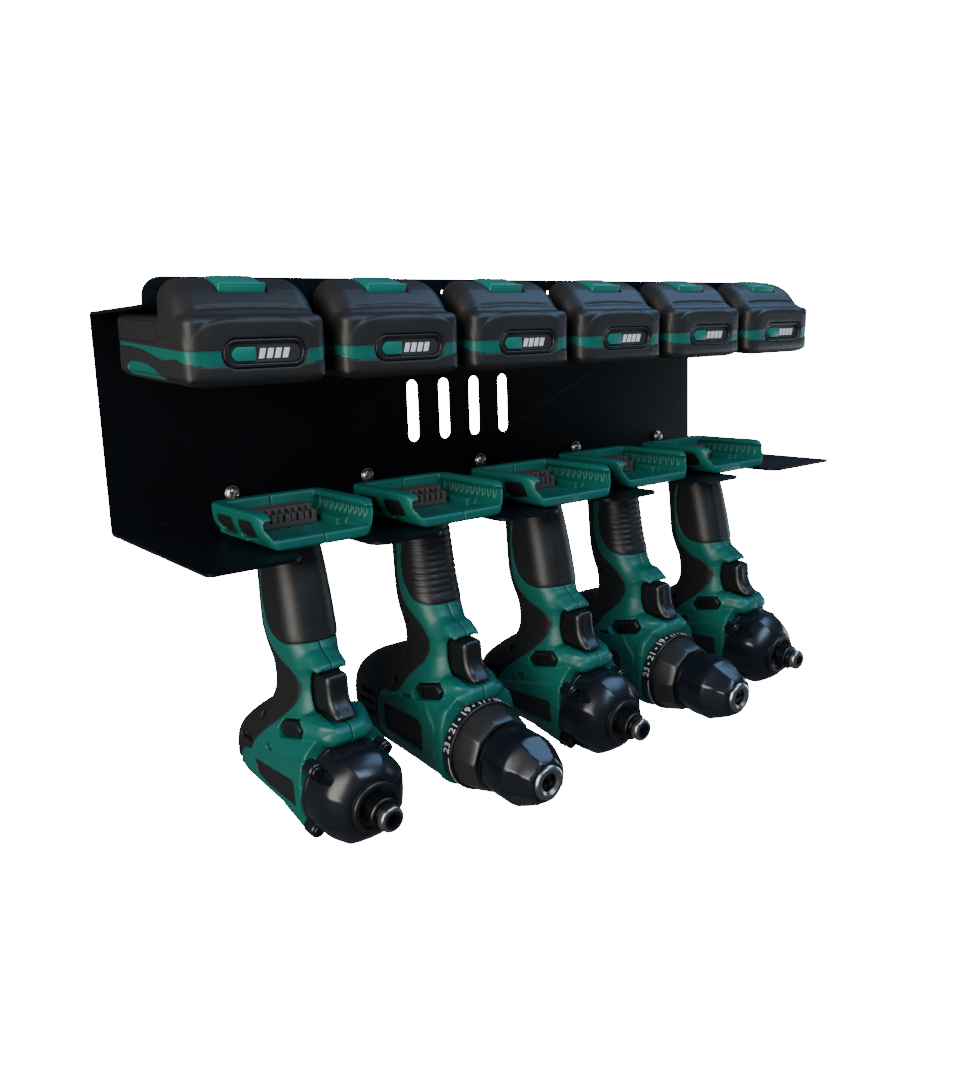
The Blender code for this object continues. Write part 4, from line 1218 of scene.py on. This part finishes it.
def turned(name, rows, finish, sides=72, flats=0, sharp=30, closed=False):
    """A body round the barrel's axis, of (s, radius, faceted share) rows; a closed one has a bore."""
    rings = []
    for s, radius, *share in rows:
        ring = []
        for a in (whole_turn * i / sides for i in range(sides)):
            r = radius
            if flats:
                step = whole_turn / flats
                faceted = cos(step / 2) / cos((a + step / 2) % step - step / 2)
                part = share[0] if share else 0.0
                r *= 1 - part + part * faceted
            ring.append((r * sin(a), -s, r * cos(a)))
        rings.append(ring)
    return painted(solid(name, rings, closed, sharp), finish)


def tube(name, rows, finish, sides=72, flats=0, sharp=30):
    return turned(name, rows, finish, sides, flats, sharp, True)


def settled(name, meshes, forward):
    """Nose meshes joined, in their place on the barrel and in metres."""
    turn = Matrix.Rotation(barrel_slope, 4, "X")
    place = Matrix.Translation((0, 0, -axis_drop)) @ turn @ Matrix.Translation((0, -forward, 0))
    return in_metres(moved(merged(name, meshes), place))


def gear_case_mesh():
    rows = [(0, 28.2), (0.6, 29), (3, 29), (3.4, 28.5), (4, 28.5), (4.4, 29), (12, 29, 0.1),
            (17, 28.9, 0.3), (20, 28.4, 0.5), (22.5, 27.5, 0.6), (24.8, 26.2, 0.65), (27, 24.6, 0.65),
            (29.2, 22.4, 0.6), (31, 20.2, 0.5), (32.4, 17.8, 0.2), (32.6, 17), (32.6, 14)]
    case = turned("case", rows, "gear_case_grey", 96, 8, 34)
    parts = []
    for side in (-1, 1):
        for level in (-1, 1):
            spot = Vector((side * lug_aside, 0, level * lug_above))
            middle = Vector((side * (lug_aside + 0.4), 0, level * (lug_above + 0.4)))
            slot = turned("slot", [(9.4, 4.6), (22, 4), (25.5, 2)], "black_plastic", 24)
            case = cut(case, moved(slot, middle))
            lug = turned("lug", [(0, 5), (8.6, 4.8), (9.2, 4.2), (9.2, 3.4)], "gear_case_grey", 28)
            head_rows = [(8, 3.3), (10, 3.3), (10.4, 2.9), (10.4, 1.6), (9, 1.5)]
            parts += [moved(lug, spot), moved(turned("head", head_rows, "blackened_steel", 24), spot)]
    ring = tube("ring", [(31, 15.4), (35.4, 15.4), (36, 14.8), (36, 12.6), (35, 12), (34.2, 12),
                         (34, 9.8), (31, 9.8)], "number_ring")
    seam = tube("seam", [(0.3, 29.1), (1.1, 29.25), (1.8, 29.1), (1.8, 28), (0.3, 28)], "number_ring", 96)
    for side in (-1, 1):
        crease = bevelled(block((-0.5, -16, -0.5), (0.5, -4.6, 0.5)), 0.2, 1)
        parts.append(painted(moved(crease, Vector((side * 28.55, 0, -0.2))), "number_ring"))
    return settled("gear_case", [case, ring, seam] + parts, nose_starts["driver"])


def holder_mesh():
    sleeve = turned("sleeve", [(-16, 5.6), (0, 6), (0, 9), (0.4, 9.4), (7.4, 9.4), (8, 8.9), (8.4, 6.4),
                               (9, 6.2), (11, 6.2), (11.4, 6.4)], "blackened_steel", 56)
    tip = turned("tip", [(11.2, 6.4), (11.4, 7.3), (11.8, 7.6), (14.8, 7.6), (15.6, 7.1), (16, 6.2)],
                 "bright_steel", 56)
    mouth = turned("mouth", [(15, 5.4), (16.03, 5.4)], "blackened_steel", 40)
    hexagon = turned("hexagon", [(-4, 3.93), (20, 3.93)], "black_plastic", 6)
    meshes = [cut(part, hexagon) for part in (sleeve, tip, mouth)]
    return settled("bit_holder", meshes, nose_starts["driver"] + case_length + holder_gap)


dial_radius = 29.5
dial_middle = -4.1
dial_numbers = range(23, 0, -2)
dial_start = radians(-78)
dial_step = radians(25)
print_height = 0.18


def number_mesh(number):
    curve = bpy.data.curves.new("number", "FONT")
    curve.body = str(number)
    curve.size = 7.4
    curve.align_x = "CENTER"
    curve.align_y = "CENTER"
    curve.extrude = print_height
    return painted(baked(linked("number", curve)), "white_print")


def clutch_mesh():
    bore = 19.6
    seat = dial_radius - 0.02
    parts = [
        tube("dial", [(0, bore), (0, 28.8), (0.5, dial_radius), (7.6, dial_radius - 0.1), (8, 29),
                      (8, bore)], "number_ring", 96),
        tube("grip", [(8.2, bore), (8.2, 27.6, 0.2), (9, 28.2, 0.7), (12, 28, 0.9), (20, 25.6, 1),
                      (23.4, 24.6, 1), (24.6, 23.4, 0.8), (24.6, 21), (22.6, 20.4), (22.6, bore)],
             "clutch_grip", 120, 10, 20),
    ]
    for k, number in enumerate(dial_numbers):
        a = dial_start + dial_step * k
        sideways, outward = Vector((cos(a), 0, -sin(a))), Vector((sin(a), 0, cos(a)))
        turn = Matrix((sideways, Vector((0, 1, 0)), outward)).transposed().to_4x4()
        place = Matrix.Translation(outward * seat + Vector((0, dial_middle, 0))) @ turn
        parts.append(moved(number_mesh(number), place))
        dot = turned("dot", [(-0.2, 0.85), (print_height, 0.85)], "white_print", 14)
        lay = Matrix.Rotation(a + dial_step / 2, 4, "Y") @ Matrix.Translation((0, dial_middle, seat))
        parts.append(moved(dot, lay @ Matrix.Rotation(radians(90), 4, "X")))
    arc = []
    for a in (radians(-90) - radians(62) * k / 23 for k in range(24)):
        arc.append([((dial_radius + out) * sin(a), -s, (dial_radius + out) * cos(a))
                    for s, out in ((6.2, -0.2), (6.2, 0.15), (6.9, 0.15), (6.9, -0.2))])
    parts.append(painted(solid("arc", arc), "white_print"))
    return settled("clutch", parts, nose_starts["drill"])


def chuck_mesh():
    sleeve = turned("sleeve", [(-18, 5.8), (0, 6.5), (0, 20.6), (0.8, 21.6), (2.4, 22.2, 0.4),
                               (4.4, 22.4, 0.6),
                               (8.6, 23, 0.5), (22, 22.9, 0.4), (24.4, 22.3, 0.6), (26, 21.4, 0.9),
                               (32, 18.6, 1), (38, 15.6, 0.9), (40, 13.8, 0.5), (40.8, 12.4), (40.8, 8)],
                    "chuck_sleeve", 96, 8, 22)
    groove = tube("groove", [(1.2, 22.3), (2, 22.55), (2.8, 22.3), (2.8, 21), (1.2, 21)],
                  "blackened_steel", 96)
    tip = tube("tip", [(39, 11.2), (41.6, 10.8), (42.6, 10), (43, 9), (42.9, 7.4), (41.4, 5.6),
                       (34, 5.2), (34, 9)], "bright_steel", 64)
    jaws = []
    for k in range(3):
        jaw = bevelled(block((-1.7, -41.4, 1.6), (1.7, -33, 5.6)), 0.4)
        jaws.append(painted(moved(jaw, Matrix.Rotation(whole_turn * k / 3, 4, "Y")), "blackened_steel"))
    bore = turned("bore", [(17, 5.3), (50, 5.3)], "black_plastic", 40)
    return settled("chuck", [cut(sleeve, bore), groove, tip] + jaws, nose_starts["drill"] + chuck_seat)


def make_tools():
    halves = {}
    for kind in ("driver", "drill"):
        right = housing_mesh(kind)
        halves[kind] = (mirrored(right), right)
    grips = {kind: grip_mesh(kind) for kind in halves}
    shared = [
        ("pull", trigger_mesh(), "_trigger", "trigger_black", "trigger"),
        ("slider", switch_mesh(), "_direction", "switch_black", "direction_switch"),
        ("terminals", terminal_mesh(), "", "terminal_plastic", "terminal_block"),
        ("contacts", contact_mesh(), "", "holder_steel", ""),
    ]
    noses = {
        "driver": [("nose_case", gear_case_mesh(), "", "case_grey", "gear_case"),
                   ("holder", holder_mesh(), "_output", "holder_steel", "bit_holder")],
        "drill": [("clutch_dial", clutch_mesh(), "_clutch", "case_grey", "clutch_collar"),
                  ("chuck_sleeve", chuck_mesh(), "_output", "chuck_black", "chuck")],
    }
    for i, x in enumerate(tool_places, 1):
        tool = f"tool_{i}"
        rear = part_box(f"{tool}_terminal_block")[1][1]
        place = Matrix.Translation((x * mm, rear - block_rear * mm, tool_top * mm))
        kind = "drill" if i % 2 == 0 else "driver"
        left, right = halves[kind]
        parts = [("half_left", left, "", "tool_teal", "housing_left"),
                 ("half_right", right, "", "tool_teal", "housing_right"),
                 ("front_grip", grips[kind], "", "grip_rubber", "")]
        for name, mesh, body, slot, node in parts + shared + noses[kind]:
            piece(f"{tool}_{name}", mesh, tool + body, [f"{tool}_{node}"] if node else [], place)


# The whole scene

place_camera()
light_the_scene()
lay_floor()
make_rack()
make_screws()
make_packs()
make_tools()
